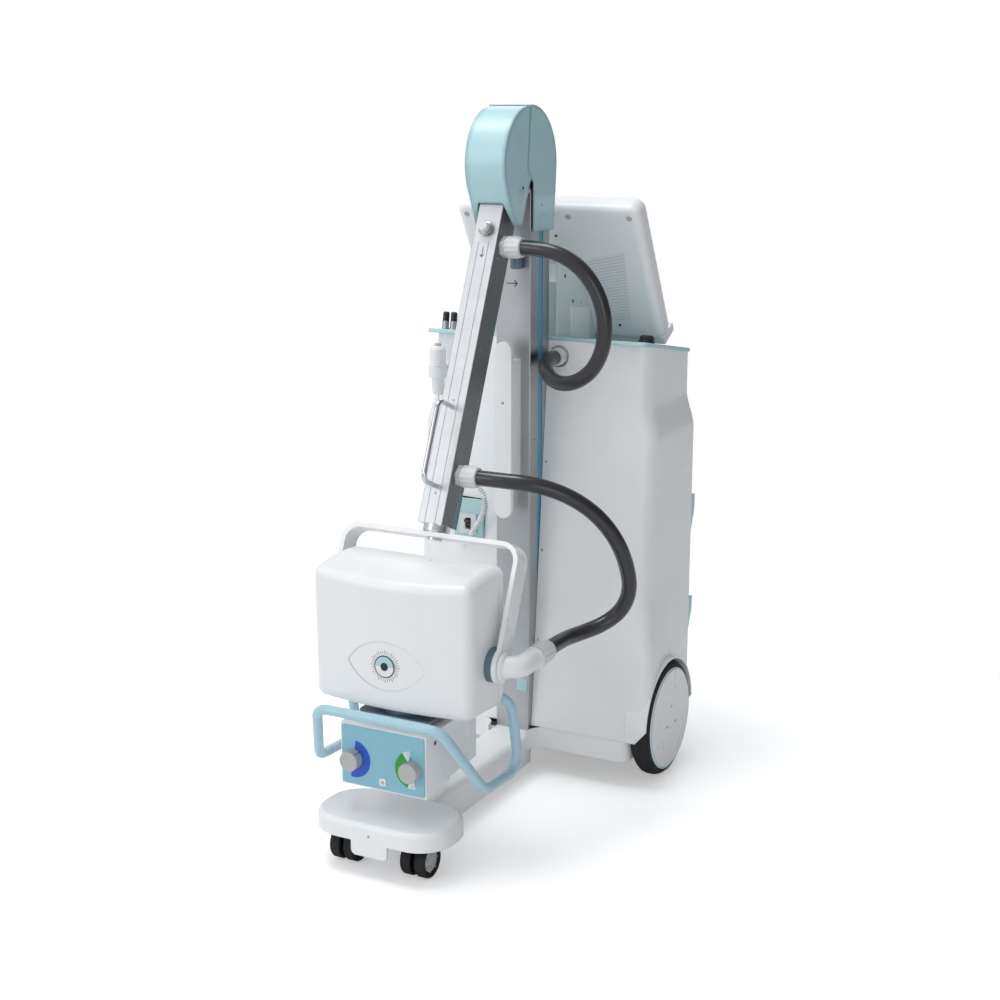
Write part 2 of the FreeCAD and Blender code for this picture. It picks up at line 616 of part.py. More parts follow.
def column_head_block():
    top = "pivot_z-pivot_above_column"
    foot = box("-column_width/2", "column_width/2", 0, "column_depth", top, top + "+head_plate")
    parts = [foot]
    for low, high in (("ear_inner", "ear_inner+ear_thick"), ("-ear_inner-ear_thick", "-ear_inner")):
        parts.append(prism("YZ", [(0, top), (76, top), ("pivot_y+22", "pivot_z+15"), ("pivot_y-ear_round+4", "pivot_z-12")],
                           low, high))
        parts.append(rod("X", low, high, "pivot_y", "pivot_z", "ear_round"))
    bore = rod("X", -60, 60, "pivot_y", "pivot_z", "axle_radius+running_gap")
    keep("column_head_block", cut(fuse(*parts), bore), BASE)


def pivot_axle():
    half = "ear_inner+ear_thick+1.5"
    keep("pivot_axle", turned([(0, "-(%s)" % half), ("axle_radius-1", "-(%s)" % half), ("axle_radius", "1-(%s)" % half),
                               ("axle_radius", half + "-1"), ("axle_radius-1", half), (0, half)], "X"), PIVOT)


def balance_springs():
    rows = []
    pitch = 2 * V.spring_wire * 0.98
    for side in (-1, 1):
        rings = []
        for turn in range(int(V.spring_turns)):
            ring = doc.addObject("Part::Torus", "coil")
            bind(ring, "Radius1", "hub_radius+spring_wire+0.4")
            bind(ring, "Radius2", "spring_wire")
            ring.Placement = Placement(Vector(side * (13.3 + V.spring_wire + turn * pitch), 0, 0), AXES["X"])
            rings.append(ring)
        rows.append(fuse(*rings))
    keep("balance_springs", group(*rows), PIVOT)


def side_profile(points, half):
    """Extrudes a closed side outline both ways; a three-point tuple is an arc to its last point."""
    edges = []
    last = points[0]
    for item in points[1:]:
        if isinstance(item, tuple):
            edges.append(Part.Arc(last, item[0], item[1]).toShape())
            last = item[1]
        else:
            edges.append(Part.LineSegment(last, item).toShape())
            last = item
    edges.append(Part.LineSegment(last, points[0]).toShape())
    solid = Part.Face(Part.Wire(edges)).extrude(Vector(2 * half, 0, 0))
    solid.translate(Vector(-half, 0, 0))
    return solid


def polar(radius, degrees):
    angle = math.radians(degrees)
    return Vector(0, radius * math.cos(angle), radius * math.sin(angle))


def rear_cover_outline(inset, beyond):
    """The fixed half of the drum: a round back, a nose in front of the pivot and a skirt below."""
    size, drop = V.cover_radius - inset, V.rear_cover_drop + beyond
    slant = 5
    join = polar(size, -slant)
    low = join + Vector(0, -math.sin(math.radians(slant)), -math.cos(math.radians(slant))) * (drop + join.z)
    top_y = -3 - beyond
    start = Vector(0, top_y, math.sqrt(size ** 2 - top_y ** 2))
    nose = Vector(0, -15 - beyond, -4)
    points = [start, (polar(size, 42), join), Vector(0, low.y, -drop), Vector(0, 12 - beyond, -drop),
              Vector(0, 12 - beyond, -42), Vector(0, -4 - beyond, -26), (Vector(0, -12 - beyond, -17), nose)]
    return points


def rear_head_cover():
    shell = side_profile(rear_cover_outline(0, 0), V.cover_half)
    hollow = side_profile(rear_cover_outline(V.cover_wall, 30), V.cover_half - V.cover_wall)
    half = V.column_width / 2 + SEAT
    rests = []
    for side in (-1, 1):
        block = Part.makeBox(V.cover_half - V.cover_wall - half + 0.5, 40, 26, Vector(half, 40, -V.rear_cover_drop + 6))
        rests.append(block if side > 0 else block.mirror(Vector(), Vector(1, 0, 0)))
    keep("rear_head_cover", formed(shell.cut(hollow).fuse(rests).removeSplitter()), PIVOT)


def front_cover_outline(inset, beyond):
    """The moving half: the same drum in front, closing to the arm in a straight throat."""
    size = V.cover_radius - V.cover_wall - V.cover_gap - inset
    drop = V.front_cover_drop + beyond
    throat = 205
    join = polar(size, throat)
    along = Vector(0, math.sin(math.radians(throat - 180)), -math.cos(math.radians(throat - 180)))
    low = join + along * ((drop + join.z) / -along.z)
    rear = 8 + beyond
    start = Vector(0, rear, math.sqrt(size ** 2 - rear ** 2))
    return [start, (polar(size, 140), join), low, Vector(0, -38 + beyond, low.z), Vector(0, -1 + beyond, -42),
            Vector(0, rear, -30)]


def front_head_cover():
    half = V.cover_half - V.cover_wall - V.cover_gap
    shell = side_profile(front_cover_outline(0, 0), half)
    hollow = side_profile(front_cover_outline(V.cover_wall, 30), half - V.cover_wall)
    gate_half = V.arm_width / 2 + 0.5
    low = -V.front_cover_drop
    gate = Part.Face(Part.makePolygon([Vector(-gate_half, -200, -84), Vector(gate_half, -200, -84),
                                       Vector(half - V.cover_wall, -200, low - 5),
                                       Vector(V.cover_wall - half, -200, low - 5), Vector(-gate_half, -200, -84)]))
    throat = gate.extrude(Vector(0, 150, 0))
    shape = shell.cut(hollow).cut(throat)
    seats = []
    for side in (-1, 1):
        wide = half - V.cover_wall - gate_half + 0.7
        block = Part.makeBox(wide, 16, 24, Vector(gate_half - 0.2, arm_axis_y - 10, -96))
        block.rotate(Vector(), Vector(1, 0, 0), -V.arm_lean)
        seats.append(block if side > 0 else block.mirror(Vector(), Vector(1, 0, 0)))
    keep("front_head_cover", formed(shape.fuse(seats).removeSplitter()), PIVOT)


def column_pad():
    half = "pad_half"
    face, back = "-pad_face", "pad_thick-pad_face"
    plate = fuse(box("-" + half, half, face, back, "pad_low+pad_half", "pad_top-pad_half"),
                 rod("Y", face, back, 0, "pad_low+pad_half", half), rod("Y", face, back, 0, "pad_top-pad_half", half))
    block = box("2-pad_half", "pad_half-2", back, 0, "pad_low+78", "pad_top-44")
    keep("column_pad", group(rounded(plate, 2, lambda e: all(abs(v.Point.y + V.pad_face) < 1e-6 for v in e.Vertexes)),
                             block), BASE)


# Arm

def arm_profile():
    front, rear = "arm_behind-arm_depth", "arm_behind"
    outer = rounded(box("-arm_width/2", "arm_width/2", front, rear, "-arm_end", "-arm_top"), 2.5, upright)
    inner = box("arm_wall-arm_width/2", "arm_width/2-arm_wall", front + "+arm_wall", rear + "-arm_wall",
                "-arm_end-1", "1-arm_top")
    lines = [box(x, x + 3, front + "-1", front + "+0.8", "-arm_end-1", "-lock_place-30") for x in (-14, 11)]
    slots = [box("arm_width/2-2", "arm_width/2+1", 2, 9, "-arm_end-1", "slot_long-arm_end"),
             box("-arm_width/2-1", "2-arm_width/2", 2, 9, "-arm_end-1", "slot_long-arm_end")]
    bush = rod("Y", front + "-5", front + "+6", 0, "-lock_place", 14.6)
    keep("arm_profile", cut(outer, inner, bush, *lines, *slots), ARM)


def arm_fork():
    """Hub on the axle with a tongue into the arm, and the bush of the lock pin."""
    fit = 0.1
    hub = rod("X", "0.4-ear_inner", "ear_inner-0.4", 0, 0, "hub_radius")
    web = prism("YZ", [(14, -6), (16, "-arm_top-8"), (-44, "-arm_top-8"), (-16, -6)], -12, 12)
    plug = box("arm_wall+%s-arm_width/2" % fit, "arm_width/2-arm_wall-%s" % fit,
               "arm_behind-arm_depth+arm_wall+%s" % fit, "arm_behind-arm_wall-%s" % fit, "-lock_place-20", "-arm_top-2")
    front = "arm_behind-arm_depth"
    bush = rod("Y", front + "-7", front + "+5", 0, "-lock_place", 14.3)
    bore = rod("X", -40, 40, 0, 0, "axle_radius+running_gap")
    pin_way = rod("Y", front + "-8", front + "+26", 0, "-lock_place", "5+running_gap")
    keep("arm_fork", cut(fuse(hub, web, plug, bush), bore, pin_way), ARM)


def lock_plunger():
    front = "arm_behind-arm_depth-7"
    knob = turned([(0, "0.3"), ("lock_radius-3", "0.3"), ("lock_radius-3", 3), ("lock_radius", 5), ("lock_radius", 14),
                   ("lock_radius-2", 16), (0, 16)], "-Y", (0, front, "-lock_place"))
    pin = rod("Y", front + "-2", front + "+24", 0, "-lock_place", 5)
    keep("lock_plunger", fuse(knob, pin), ARM)


def arm_collar():
    """Chrome guide ring under the arm with a bush inside it."""
    ring = turned([("tube_radius+tube_gap", 0), ("collar_radius", 0), ("collar_radius", "collar_long-3"),
                   ("collar_radius-2", "collar_long"), ("tube_radius+tube_gap", "collar_long")],
                  "-Z", (0, arm_axis_y, "-arm_end"))
    side = "arm_width/2-arm_wall-0.1"
    plug = box("-(%s)" % side, side, "arm_behind-arm_depth+arm_wall+0.1", "arm_behind-arm_wall-0.1",
               "-arm_end", "-arm_end+34")
    bore = rod("Z", "-arm_end-1", "-arm_end+40", 0, arm_axis_y, "tube_radius+tube_gap")
    keep("arm_collar", fuse(ring, cut(plug, bore)), ARM)


def arm_handle():
    face = V.arm_behind - V.arm_depth
    out = face - V.grip_reach
    ends = [Vector(0, face, -V.grip_top), Vector(0, out, -V.grip_top), Vector(0, out, -V.grip_bottom),
            Vector(0, face, -V.grip_bottom)]
    keep("arm_handle", formed(pipe(ends, V.grip_rod, V.grip_bend)[0]), ARM)


def gland_profile(length):
    return [("hose_radius-8", 0), ("gland_radius-1", 0), ("gland_radius-1", 8), ("gland_radius", 9), ("gland_radius", 15),
            ("gland_radius-2", 16), ("gland_radius-1", "%s-14" % length), ("gland_radius-4", length),
            ("hose_radius-8", length)]


def arm_hose_glands():
    glands = [turned(gland_profile("gland_long"), "X", ("arm_width/2", arm_axis_y, "-" + place))
              for place in ("gland_upper", "gland_lower")]
    keep("arm_hose_glands", group(*glands), ARM)


def cabinet_hose_gland():
    flange = turned([("hose_radius-8", -8), ("cab_hole_radius-0.3", -8), ("cab_hole_radius-0.3", 0),
                     ("gland_radius-4", 1), ("gland_radius-5", 30), ("hose_radius+1", 34), ("hose_radius-8", 34)],
                    "-Y", ("cab_hole_x", 103, "cab_hole_z"))
    keep("cabinet_hose_gland", flange, BASE)


def inner_tube():
    tube = cut(rod("Z", "0.3-yoke_top", "-tube_top", 0, arm_axis_y, "tube_radius"),
               rod("Z", "12-yoke_top", "1-tube_top", 0, arm_axis_y, "tube_radius-3"))
    pin = rod("Z", "-yoke_top-yoke_thick-6", "2-yoke_top", 0, arm_axis_y, 10)
    nut = rod("Z", "-yoke_top-yoke_thick-6", "-yoke_top-yoke_thick-0.3", 0, arm_axis_y, 16)
    keep("inner_tube", fuse(tube, pin, nut), ARM)


# Yoke and tube head

def yoke():
    """An inverted U bent from flat bar, with round bosses at the trunnions."""
    def bent(half, top, corner, foot):
        edge = math.sqrt(0.5)
        points = [Vector(-half, 0, -foot), Vector(-half, 0, -top - corner),
                  Vector(-half + corner * (1 - edge), 0, -top - corner * (1 - edge)), Vector(-half + corner, 0, -top)]
        right = [Vector(-p.x, 0, p.z) for p in reversed(points)]
        edges = [Part.LineSegment(points[0], points[1]), Part.Arc(points[1], points[2], points[3]),
                 Part.LineSegment(points[3], right[0]), Part.Arc(right[0], right[1], right[2]),
                 Part.LineSegment(right[2], right[3]), Part.LineSegment(right[3], points[0])]
        face = Part.Face(Part.Wire([e.toShape() for e in edges]))
        return face

    deep, thick = V.yoke_deep, V.yoke_thick
    half = V.head_half + V.yoke_gap + thick
    outer = bent(half, V.yoke_top, V.yoke_corner, V.trunnion_place).extrude(Vector(0, deep, 0))
    inner = bent(half - thick, V.yoke_top + thick, V.yoke_corner - thick,
                 V.trunnion_place + 1).extrude(Vector(0, deep + 2, 0))
    inner.translate(Vector(0, -1, 0))
    bar = outer.cut(inner)
    bar.translate(Vector(0, arm_axis_y - deep / 2, 0))
    centre = Vector(0, arm_axis_y, -V.trunnion_place)
    for side in (-1, 1):
        start = centre + Vector(side * (half - thick), 0, 0)
        bar = bar.fuse(Part.makeCylinder(V.boss_radius, thick, start, Vector(side, 0, 0)))
    hole = Part.makeCylinder(V.spindle_radius + V.running_gap, 600, centre - Vector(300, 0, 0), Vector(1, 0, 0))
    top_hole = Part.makeCylinder(10 + V.running_gap, 40, Vector(0, arm_axis_y, -V.yoke_top - 20), Vector(0, 0, 1))
    shape = bar.cut([hole, top_hole]).removeSplitter()
    keep("yoke", formed(shape), ARM)


YOKE_FACE = "head_half+yoke_gap+yoke_thick"
ELBOW_X = V.head_half + V.yoke_gap + V.yoke_thick + 33
ELBOW_TURN, ELBOW_END = 75, 140


def hose_elbow():
    hub = rod("X", YOKE_FACE, ELBOW_X, 0, 0, 24)
    flange = rod("X", YOKE_FACE, YOKE_FACE + "+8", 0, 0, 31)
    ball = doc.addObject("Part::Sphere", "ball")
    bind(ball, "Radius", "gland_radius-1")
    ball.Placement = Placement(Vector(ELBOW_X, 0, 0), Rotation())
    spout = rod("Y", 0, ELBOW_TURN, ELBOW_X, 0, 22)
    gland = turned(gland_profile("%d" % (ELBOW_END - ELBOW_TURN)), "Y", (ELBOW_X, ELBOW_TURN, 0))
    keep("hose_elbow", fuse(flange, hub, ball, spout, gland), HEAD)


def head_block(inset):
    """The tube housing: a crowned front and roof, cut from a plan form and a side form."""
    half, front, rear = V.head_half - inset, V.head_front - inset, V.head_rear - inset
    top, low = V.head_top - inset, V.head_bottom - inset
    corner_y = -front + V.head_crown
    plan = Part.Wire([e.toShape() for e in (
        Part.LineSegment(Vector(half, rear, -low - 20), Vector(half, corner_y, -low - 20)),
        Part.Arc(Vector(half, corner_y, -low - 20), Vector(0, -front, -low - 20), Vector(-half, corner_y, -low - 20)),
        Part.LineSegment(Vector(-half, corner_y, -low - 20), Vector(-half, rear, -low - 20)),
        Part.LineSegment(Vector(-half, rear, -low - 20), Vector(half, rear, -low - 20)))])
    tower = Part.Face(plan).extrude(Vector(0, 0, top + low + 60))
    side = side_profile([Vector(0, -front - 30, -low + 12), Vector(0, -front - 30, top - 34),
                         (Vector(0, 0, top), Vector(0, rear + 30, top - 10)), Vector(0, rear + 30, -low - 4)], half + 5)
    block = tower.common(side).removeSplitter()
    radius = max(V.head_round - inset, 6)
    return block.makeFillet(radius, block.Edges)


def handle_bar(radius):
    """The bent tube of the head's handle, from one side of the head round the front to the other."""
    right = [Vector(V.bar_half, V.bar_y, V.bar_z), Vector(V.bar_out, V.bar_low_y, V.bar_low_z),
             Vector(V.bar_out, V.bar_back_y, V.bar_back_z), Vector(V.bar_out - 1, V.bar_top_y, V.bar_top_z),
             Vector(V.bar_foot, V.bar_top_y - 12, V.bar_top_z + 18)]
    left = [Vector(-p.x, p.y, p.z) for p in reversed(right)]
    return pipe(left + right, radius, V.bar_bend)[0]


def tube_head():
    outer, inner = head_block(0), head_block(V.head_wall)
    holes = [Part.makeCylinder(V.spindle_radius + SEAT, 500, Vector(-250, 0, 0), Vector(1, 0, 0)),
             Part.makeCylinder(V.swivel_radius + SEAT, 40, Vector(0, V.beam_y, -V.head_bottom - 15))]
    shell = outer.cut(inner).cut(holes + [handle_bar(V.bar_radius + SEAT)])
    far = 600
    ahead = Part.makeBox(2 * far, far, 2 * far, Vector(-far, V.head_seam - far, -far))
    front = shell.common(ahead)
    lens_radius = (V.eye_half ** 2 + V.eye_rise ** 2) / (2 * V.eye_rise)
    lift = lens_radius - V.eye_rise
    lids = [Part.makeCylinder(lens_radius, 60, Vector(0, -V.head_front - 20, z), Vector(0, 1, 0)) for z in (lift, -lift)]
    almond = lids[0].common(lids[1]).cut(head_block(V.eye_deep))
    seat_y = -V.head_front + V.eye_deep
    pocket = Part.makeCylinder(V.dial_radius + 1, 20, Vector(0, seat_y - 20, 0), Vector(0, 1, 0))
    pin_hole = Part.makeCylinder(3 + V.running_gap, 30, Vector(0, -V.head_front - 5, 0), Vector(0, 1, 0))
    keep("tube_head_front", formed(front.cut([almond, pocket, pin_hole])), HEAD)
    keep("tube_head_rear", formed(shell.cut(ahead)), HEAD)


def tilt_dial():
    seat = "eye_deep-head_front-0.3"
    disc = rod("Y", seat + "-dial_thick", seat, 0, 0, "dial_radius")
    pin = rod("Y", seat + "-1", seat + "+6", 0, 0, 3)
    keep("tilt_dial", fuse(disc, pin), HEAD)


def xray_tube():
    tank = rod("X", "60-head_half", "head_half-60", 0, 0, "head_rear-22")
    ends = [rod("X", "44-head_half", "60-head_half", 0, 0, 30), rod("X", "head_half-60", "head_half-44", 0, 0, 30)]
    keep("xray_tube", fuse(tank, *ends), HEAD)


def trunnion_pins():
    right = turned([(0, "head_half-43.7"), ("spindle_radius", "head_half-43.7"), ("spindle_radius", "head_half+0.3"),
                    (37, "head_half+0.3"), (37, "head_half+yoke_gap-0.3"), ("spindle_radius", "head_half+yoke_gap-0.3"),
                    ("spindle_radius", YOKE_FACE + "-0.3"), (0, YOKE_FACE + "-0.3")], "X")
    keep("trunnion_pins", group(right, mirrored(right)), HEAD)


def swivel_plate():
    top, low = "-head_bottom+12", "0.3-coll_top+5"
    neck = rod("Z", low + "+6", top, 0, "beam_y", "swivel_radius")
    plate = rounded(box("-swivel_plate_half", "swivel_plate_half", "beam_y-70", "beam_y+70", low + "+4", low + "+10"),
                    12, upright)
    ring = rod("Z", low, low + "+5", 0, "beam_y", 54)
    keep("swivel_plate", fuse(neck, plate, ring), HEAD)


def head_handle():
    keep("head_handle", formed(handle_bar(V.bar_radius)), HEAD)


# Collimator

def collimator_body():
    face = "-coll_front"
    body = prism("YZ", [(face, "-coll_top"), ("coll_back-35", "-coll_top"), ("coll_back", "-coll_top-24"),
                        ("coll_back", "22-coll_low"), (face, "-coll_low")], "-coll_half", "coll_half")
    body = rounded(fuse_one(body), 9, lambda e: abs(e.Vertexes[0].Point.x) > V.coll_half - 1e-6
                   and all(v.Point.y > 0 for v in e.Vertexes)
                   and abs(e.Vertexes[0].Point.x - e.Vertexes[-1].Point.x) < 1e-6)
    dents = [rod("X", "coll_half-5", "coll_half+2", "beam_y+12", -204, 62),
             rod("X", "-coll_half-2", "5-coll_half", "beam_y+12", -204, 62)]
    flange = rod("Z", "-coll_top-1", "-coll_top+5", 0, "beam_y", 70)
    holes = [rod("Y", face + "-1", face + "+14", "%d*knob_x" % side, "knob_z", "5+running_gap") for side in (-1, 1)]
    holes.append(box("-button_half-0.5", "button_half+0.5", face + "-1", face + "+4", "button_z-button_half-0.5",
                     "button_z+button_half+0.5"))
    window = box(-60, 60, "beam_y-60", "beam_y+60", "-coll_low-5", "-coll_low+14")
    keep("collimator_body", cut(fuse(body, flange), window, *dents, *holes), HEAD)


def collimator_panel():
    face = "-coll_front"
    sheet_block = rounded(box("4-coll_half", "coll_half-4", face + "-panel_thick", face, "4-coll_low", "-coll_top-4"), 4,
                          lambda e: abs(e.Vertexes[0].Point.y - e.Vertexes[-1].Point.y) > 1)
    holes = [rod("Y", face + "-9", face + "+1", "%d*knob_x" % side, "knob_z", 7) for side in (-1, 1)]
    holes.append(box("-button_half-0.3", "button_half+0.3", face + "-9", face + "+1", "button_z-button_half-0.3",
                     "button_z+button_half+0.3"))
    keep("collimator_panel", cut(sheet_block, *holes), HEAD)


def field_knobs():
    front = "-coll_front-panel_thick-0.3"
    for side, name in ((-1, "left"), (1, "right")):
        x = "%d*knob_x" % side
        knob = rounded(fuse_one(rod("Y", front + "-knob_long", front, x, "knob_z", "knob_radius")), 2,
                       lambda e: len(e.Vertexes) == 1 and e.Vertexes[0].Point.y < -V.coll_front - V.panel_thick - 5)
        shaft = rod("Y", front + "-1", front + "+15", x, "knob_z", 5)
        keep("field_knob_" + name, fuse(knob, shaft), HEAD)


def light_button():
    front = "-coll_front-panel_thick-2"
    key = box("-button_half", "button_half", front, front + "+4.7", "button_z-button_half", "button_z+button_half")
    keep("light_button", rounded(key, 1.2, lambda e: all(abs(v.Point.y + V.coll_front + V.panel_thick + 2) < 1e-6
                                                         for v in e.Vertexes)), HEAD)


# Switches

def hand_switch():
    low, top = "switch_low", "holder_top+0.3"
    body = turned([(8, low), ("switch_radius-3", low), ("switch_radius-0.3", low + "+10"), ("switch_radius-0.3", top),
                   ("switch_head", top), ("switch_head", "switch_top-8"), ("switch_head-5", "switch_top"),
                   (8.5, "switch_top"), (8.5, "switch_top-14"), (0, "switch_top-14"), (0, low + "+6"), (8, low + "+6")],
                  "Z", ("switch_x", "switch_y", 0))
    keep("hand_switch", body, BASE)
    button = turned([(0, "switch_top-7"), (8.2, "switch_top-7"), (8.2, "switch_top+4"), (6.5, "switch_top+6"),
                     (0, "switch_top+6")], "Z", ("switch_x", "switch_y", 0))
    keep("hand_switch_button", button, BASE)


def switch_holder():
    ring = turned([("switch_radius", "holder_low"), ("switch_radius+7", "holder_low"), ("switch_radius+7", "holder_top"),
                   ("switch_radius", "holder_top")], "Z", ("switch_x", "switch_y", 0))
    arm = box("switch_x-8", "switch_x+8", "switch_y+switch_radius+3", "cab_wall+132", "holder_low+4", "holder_top-4")
    keep("switch_holder", fuse(ring, arm), BASE)


BREAKER_FACE, LEVER_Y = 44, 56


def breaker():
    x, z, half, tall = "breaker_x", "breaker_z", "breaker_half", "breaker_tall"
    plate = rounded(box(x + "-" + half, x + "+" + half, 48, 56, z + "-%s/2" % tall, z + "+%s/2" % tall), 5,
                    lambda e: abs(e.Vertexes[0].Point.y - e.Vertexes[-1].Point.y) > 1)
    hole = box(x + "-23.3", x + "+23.3", 40, 60, z + "-35.3", z + "+15.3")
    keep("breaker_panel", cut(plate, hole), BASE)
    block = box(x + "-23", x + "+23", BREAKER_FACE, 92, z + "-35", z + "+15")
    back = box(x + "-30", x + "+30", 56.3, 92, z + "-40", z + "+20")
    slot = box(x + "-8", x + "+8", BREAKER_FACE - 1, 72, z + "-24", z + "+4")
    bore = rod("X", x + "-12", x + "+12", LEVER_Y, z + "-10", "3+running_gap")
    keep("breaker_body", cut(fuse(block, back), slot, bore), BASE)
    disc = fuse(rod("X", -7, 7, 0, 0, 11), rod("X", -11, 11, 0, 0, 3))
    finger = box(-7, 7, -20, 0, -3, 3)
    turn = Rotation(Vector(1, 0, 0), -25)
    lever = fuse(disc, finger)
    keep("breaker_lever", lever, Placement(Vector(V.breaker_x, column_face_y + LEVER_Y, V.breaker_z - 10), turn))


# Hoses and cord. The points between the two ends were chosen by hand, in millimetres from the column's front.

UPPER_ROUTE = [(142, -106.2, 1272.4), (203, -93, 1242), (243, -78, 1188), (259, -66, 1122), (254, -60, 1058),
               (227, -58, 1004), (180, -55, 972), (128, -42, 968), (86, -12, 990), (72, 30, 1008)]
LOWER_ROUTE = [(142, -311.5, 797.9), (210, -284, 790), (267, -244, 762), (312, -203, 716), (343, -168, 654),
               (356, -142, 588), (356, -129, 536), (338, -128, 490), (305, -148, 459), (271, -186, 445),
               (253, -231, 442.8), (250, -278, 442.8)]
SWITCH_ROUTE = [(-240, 72, 866), (-236, 60, 812), (-214, 38, 762), (-174, 22, 728), (-130, 14, 714),
                (-95, 16, 694), (-84, 22, 660), (-94, 26, 622), (-116, 28, 588), (-136, 30, 560)]


def cord_node(label, first, route, last, radius):
    points = [first] + [Vector(x, y + column_face_y, z) for x, y, z in route] + [last]
    tube, radii, length = pipe(points, radius)
    print(label, "length %.0f" % length, "radii", ["%.0f" % value for value in radii],
          "volume ratio %.4f" % (tube.Volume / (math.pi * radius ** 2 * length)))
    thing = formed(tube)
    thing.Label = label
    thing.Placement = Placement()
    made.append(thing)


def hoses():
    out = V.arm_width / 2 + V.gland_long + SEAT
    cabinet_end = Vector(V.cab_hole_x, column_face_y + 103 - 34 - SEAT, V.cab_hole_z)
    cord_node("upper_hose", on_arm(out, arm_axis_y, V.gland_upper), UPPER_ROUTE, cabinet_end, V.hose_radius)
    elbow_end = trunnion + Vector(ELBOW_X, ELBOW_END + SEAT, 0)
    cord_node("lower_hose", on_arm(out, arm_axis_y, V.gland_lower), LOWER_ROUTE, elbow_end, V.hose_radius)
    switch_end = Vector(V.switch_x, column_face_y + V.switch_y, V.switch_low)
    socket = Vector(V.breaker_x - 5, column_face_y + 36, 532)
    cord_node("switch_cord", switch_end, SWITCH_ROUTE, socket, V.cord_radius)


for build in (chassis_frame, front_leg_cover, caster_cover, casters, rear_wheels, cabinet_shell, cabinet_rear_panel,
              base_skirt, top_plate, cable_sockets, console_shell, display_screen, console_stand, push_handle,
              cassette_rack, power_unit, column_profile, column_head_block, pivot_axle, balance_springs,
              rear_head_cover, front_head_cover, column_pad, arm_profile, arm_fork, lock_plunger, arm_collar,
              arm_handle, arm_hose_glands, cabinet_hose_gland, inner_tube, yoke, hose_elbow, tube_head, tilt_dial,
              xray_tube, trunnion_pins, swivel_plate, head_handle, collimator_body, collimator_panel, field_knobs,
              light_button, hand_switch, switch_holder, breaker, hoses):
    build()
doc.recompute()

bad = [thing.Label for thing in doc.Objects if "Invalid" in thing.State or "Error" in thing.State]
for thing in made:
    if thing.Shape.isNull() or not thing.Shape.isValid() or not thing.Shape.Solids:
        bad.append(thing.Label)
if bad:
    raise RuntimeError("failed: " + ", ".join(bad))
for thing in made:
    thing.Shape.exportStep(os.path.join("parts", thing.Label + ".step"))
print(len(made), "nodes,", sum(len(thing.Shape.Solids) for thing in made), "solids")
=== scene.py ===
# %% [markdown]
# # Mobile x-ray machine
# A white ward cart stands on two large wheels and two twin casters. Its column carries an arm that tilts and slides
# out, and the arm holds a tube head in a yoke, with a beam-limiting box under it. Two dark hoses take the cables from
# the cabinet to the head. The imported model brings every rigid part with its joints. This script adds what makes it
# look real: finishes, small fittings, hoses, light, a floor and a camera.

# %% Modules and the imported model
import math

import bmesh
import bpy
from mathutils import Matrix, Vector


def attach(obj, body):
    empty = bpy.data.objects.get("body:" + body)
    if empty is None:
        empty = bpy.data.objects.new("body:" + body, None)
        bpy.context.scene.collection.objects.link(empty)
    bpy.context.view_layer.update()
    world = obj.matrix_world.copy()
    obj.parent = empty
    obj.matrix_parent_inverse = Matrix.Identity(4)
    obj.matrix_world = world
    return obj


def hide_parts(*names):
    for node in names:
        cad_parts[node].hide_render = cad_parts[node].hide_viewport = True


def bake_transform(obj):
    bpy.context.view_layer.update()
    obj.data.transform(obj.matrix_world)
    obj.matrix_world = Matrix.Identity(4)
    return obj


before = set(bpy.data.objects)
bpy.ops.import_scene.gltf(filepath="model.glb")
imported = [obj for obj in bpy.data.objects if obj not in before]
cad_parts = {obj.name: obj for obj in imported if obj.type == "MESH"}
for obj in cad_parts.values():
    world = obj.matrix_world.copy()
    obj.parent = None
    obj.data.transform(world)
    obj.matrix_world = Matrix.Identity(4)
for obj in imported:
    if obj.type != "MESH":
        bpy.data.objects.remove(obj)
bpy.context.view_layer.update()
scene = bpy.context.scene
print("packed parts:", len(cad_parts))

# %% [markdown]
# ## Places on the machine
# Fittings are easiest to place on the part that carries them, so each main part has a frame of its own. Lengths are in
# millimetres, as on a workshop drawing. Y is measured from the front face of the column, and `COLUMN_Y` moves it to
# the shared frame, whose origin lies under the middle of the machine. One matrix does both steps.

# %% Frames of the main parts
MM = 0.001
COLUMN_Y = 105.0
LEAN = math.radians(23.4)
PLATE_SLOPE = math.radians(9.5)
CONSOLE_LEAN = math.radians(29)
SCALE = Matrix.Scale(MM, 4)


def frame_at(y, z, turn=0.0):
    """A frame on the machine's middle plane, turned about X."""
    return Matrix.Translation(Vector((0, COLUMN_Y + y, z)) * MM) @ Matrix.Rotation(turn, 4, "X") @ SCALE


BASE = frame_at(0, 0)
PIVOT = frame_at(-13, 1450)
ARM = frame_at(-13, 1450, -LEAN)
HEAD = Matrix.Translation(ARM @ Vector((0, -15, -1104))) @ SCALE
PLATE = frame_at(104, 1052, -PLATE_SLOPE)
CONSOLE = frame_at(336, 1020, CONSOLE_LEAN)
print("head at", [round(value, 3) for value in HEAD.translation])

# %% [markdown]
# ## Camera
# The picture is taken from the right in front, a little above the tube head, and looks slightly down. The lens is
# longer than a normal one, so the upright edges hardly converge. The angles were fitted to edges of the machine.

# %% Camera
camera = bpy.data.objects.new("camera", bpy.data.cameras.new("camera"))
camera.data.lens = 58.2
camera.data.sensor_width = 36
camera.location = (1.6837, -3.2857 + COLUMN_Y * MM, 1.5503)
camera.rotation_euler = (math.radians(90 - 13.33), 0, math.radians(27.6))
scene.collection.objects.link(camera)
scene.camera = camera
print("camera at", [round(value, 3) for value in camera.location])

# %% [markdown]
# ## Hose and cord routes
# A hose hangs in one smooth sweep between two glands. A few points in the air, in metres, shape a spline that passes
# near them and ends on the first and the last. The ends at the arm and the head are worked out in the frames of those
# parts, so they lie right on the glands. The finished spline is read back as points, which gives its length and the
# middle line of a mesh tube.

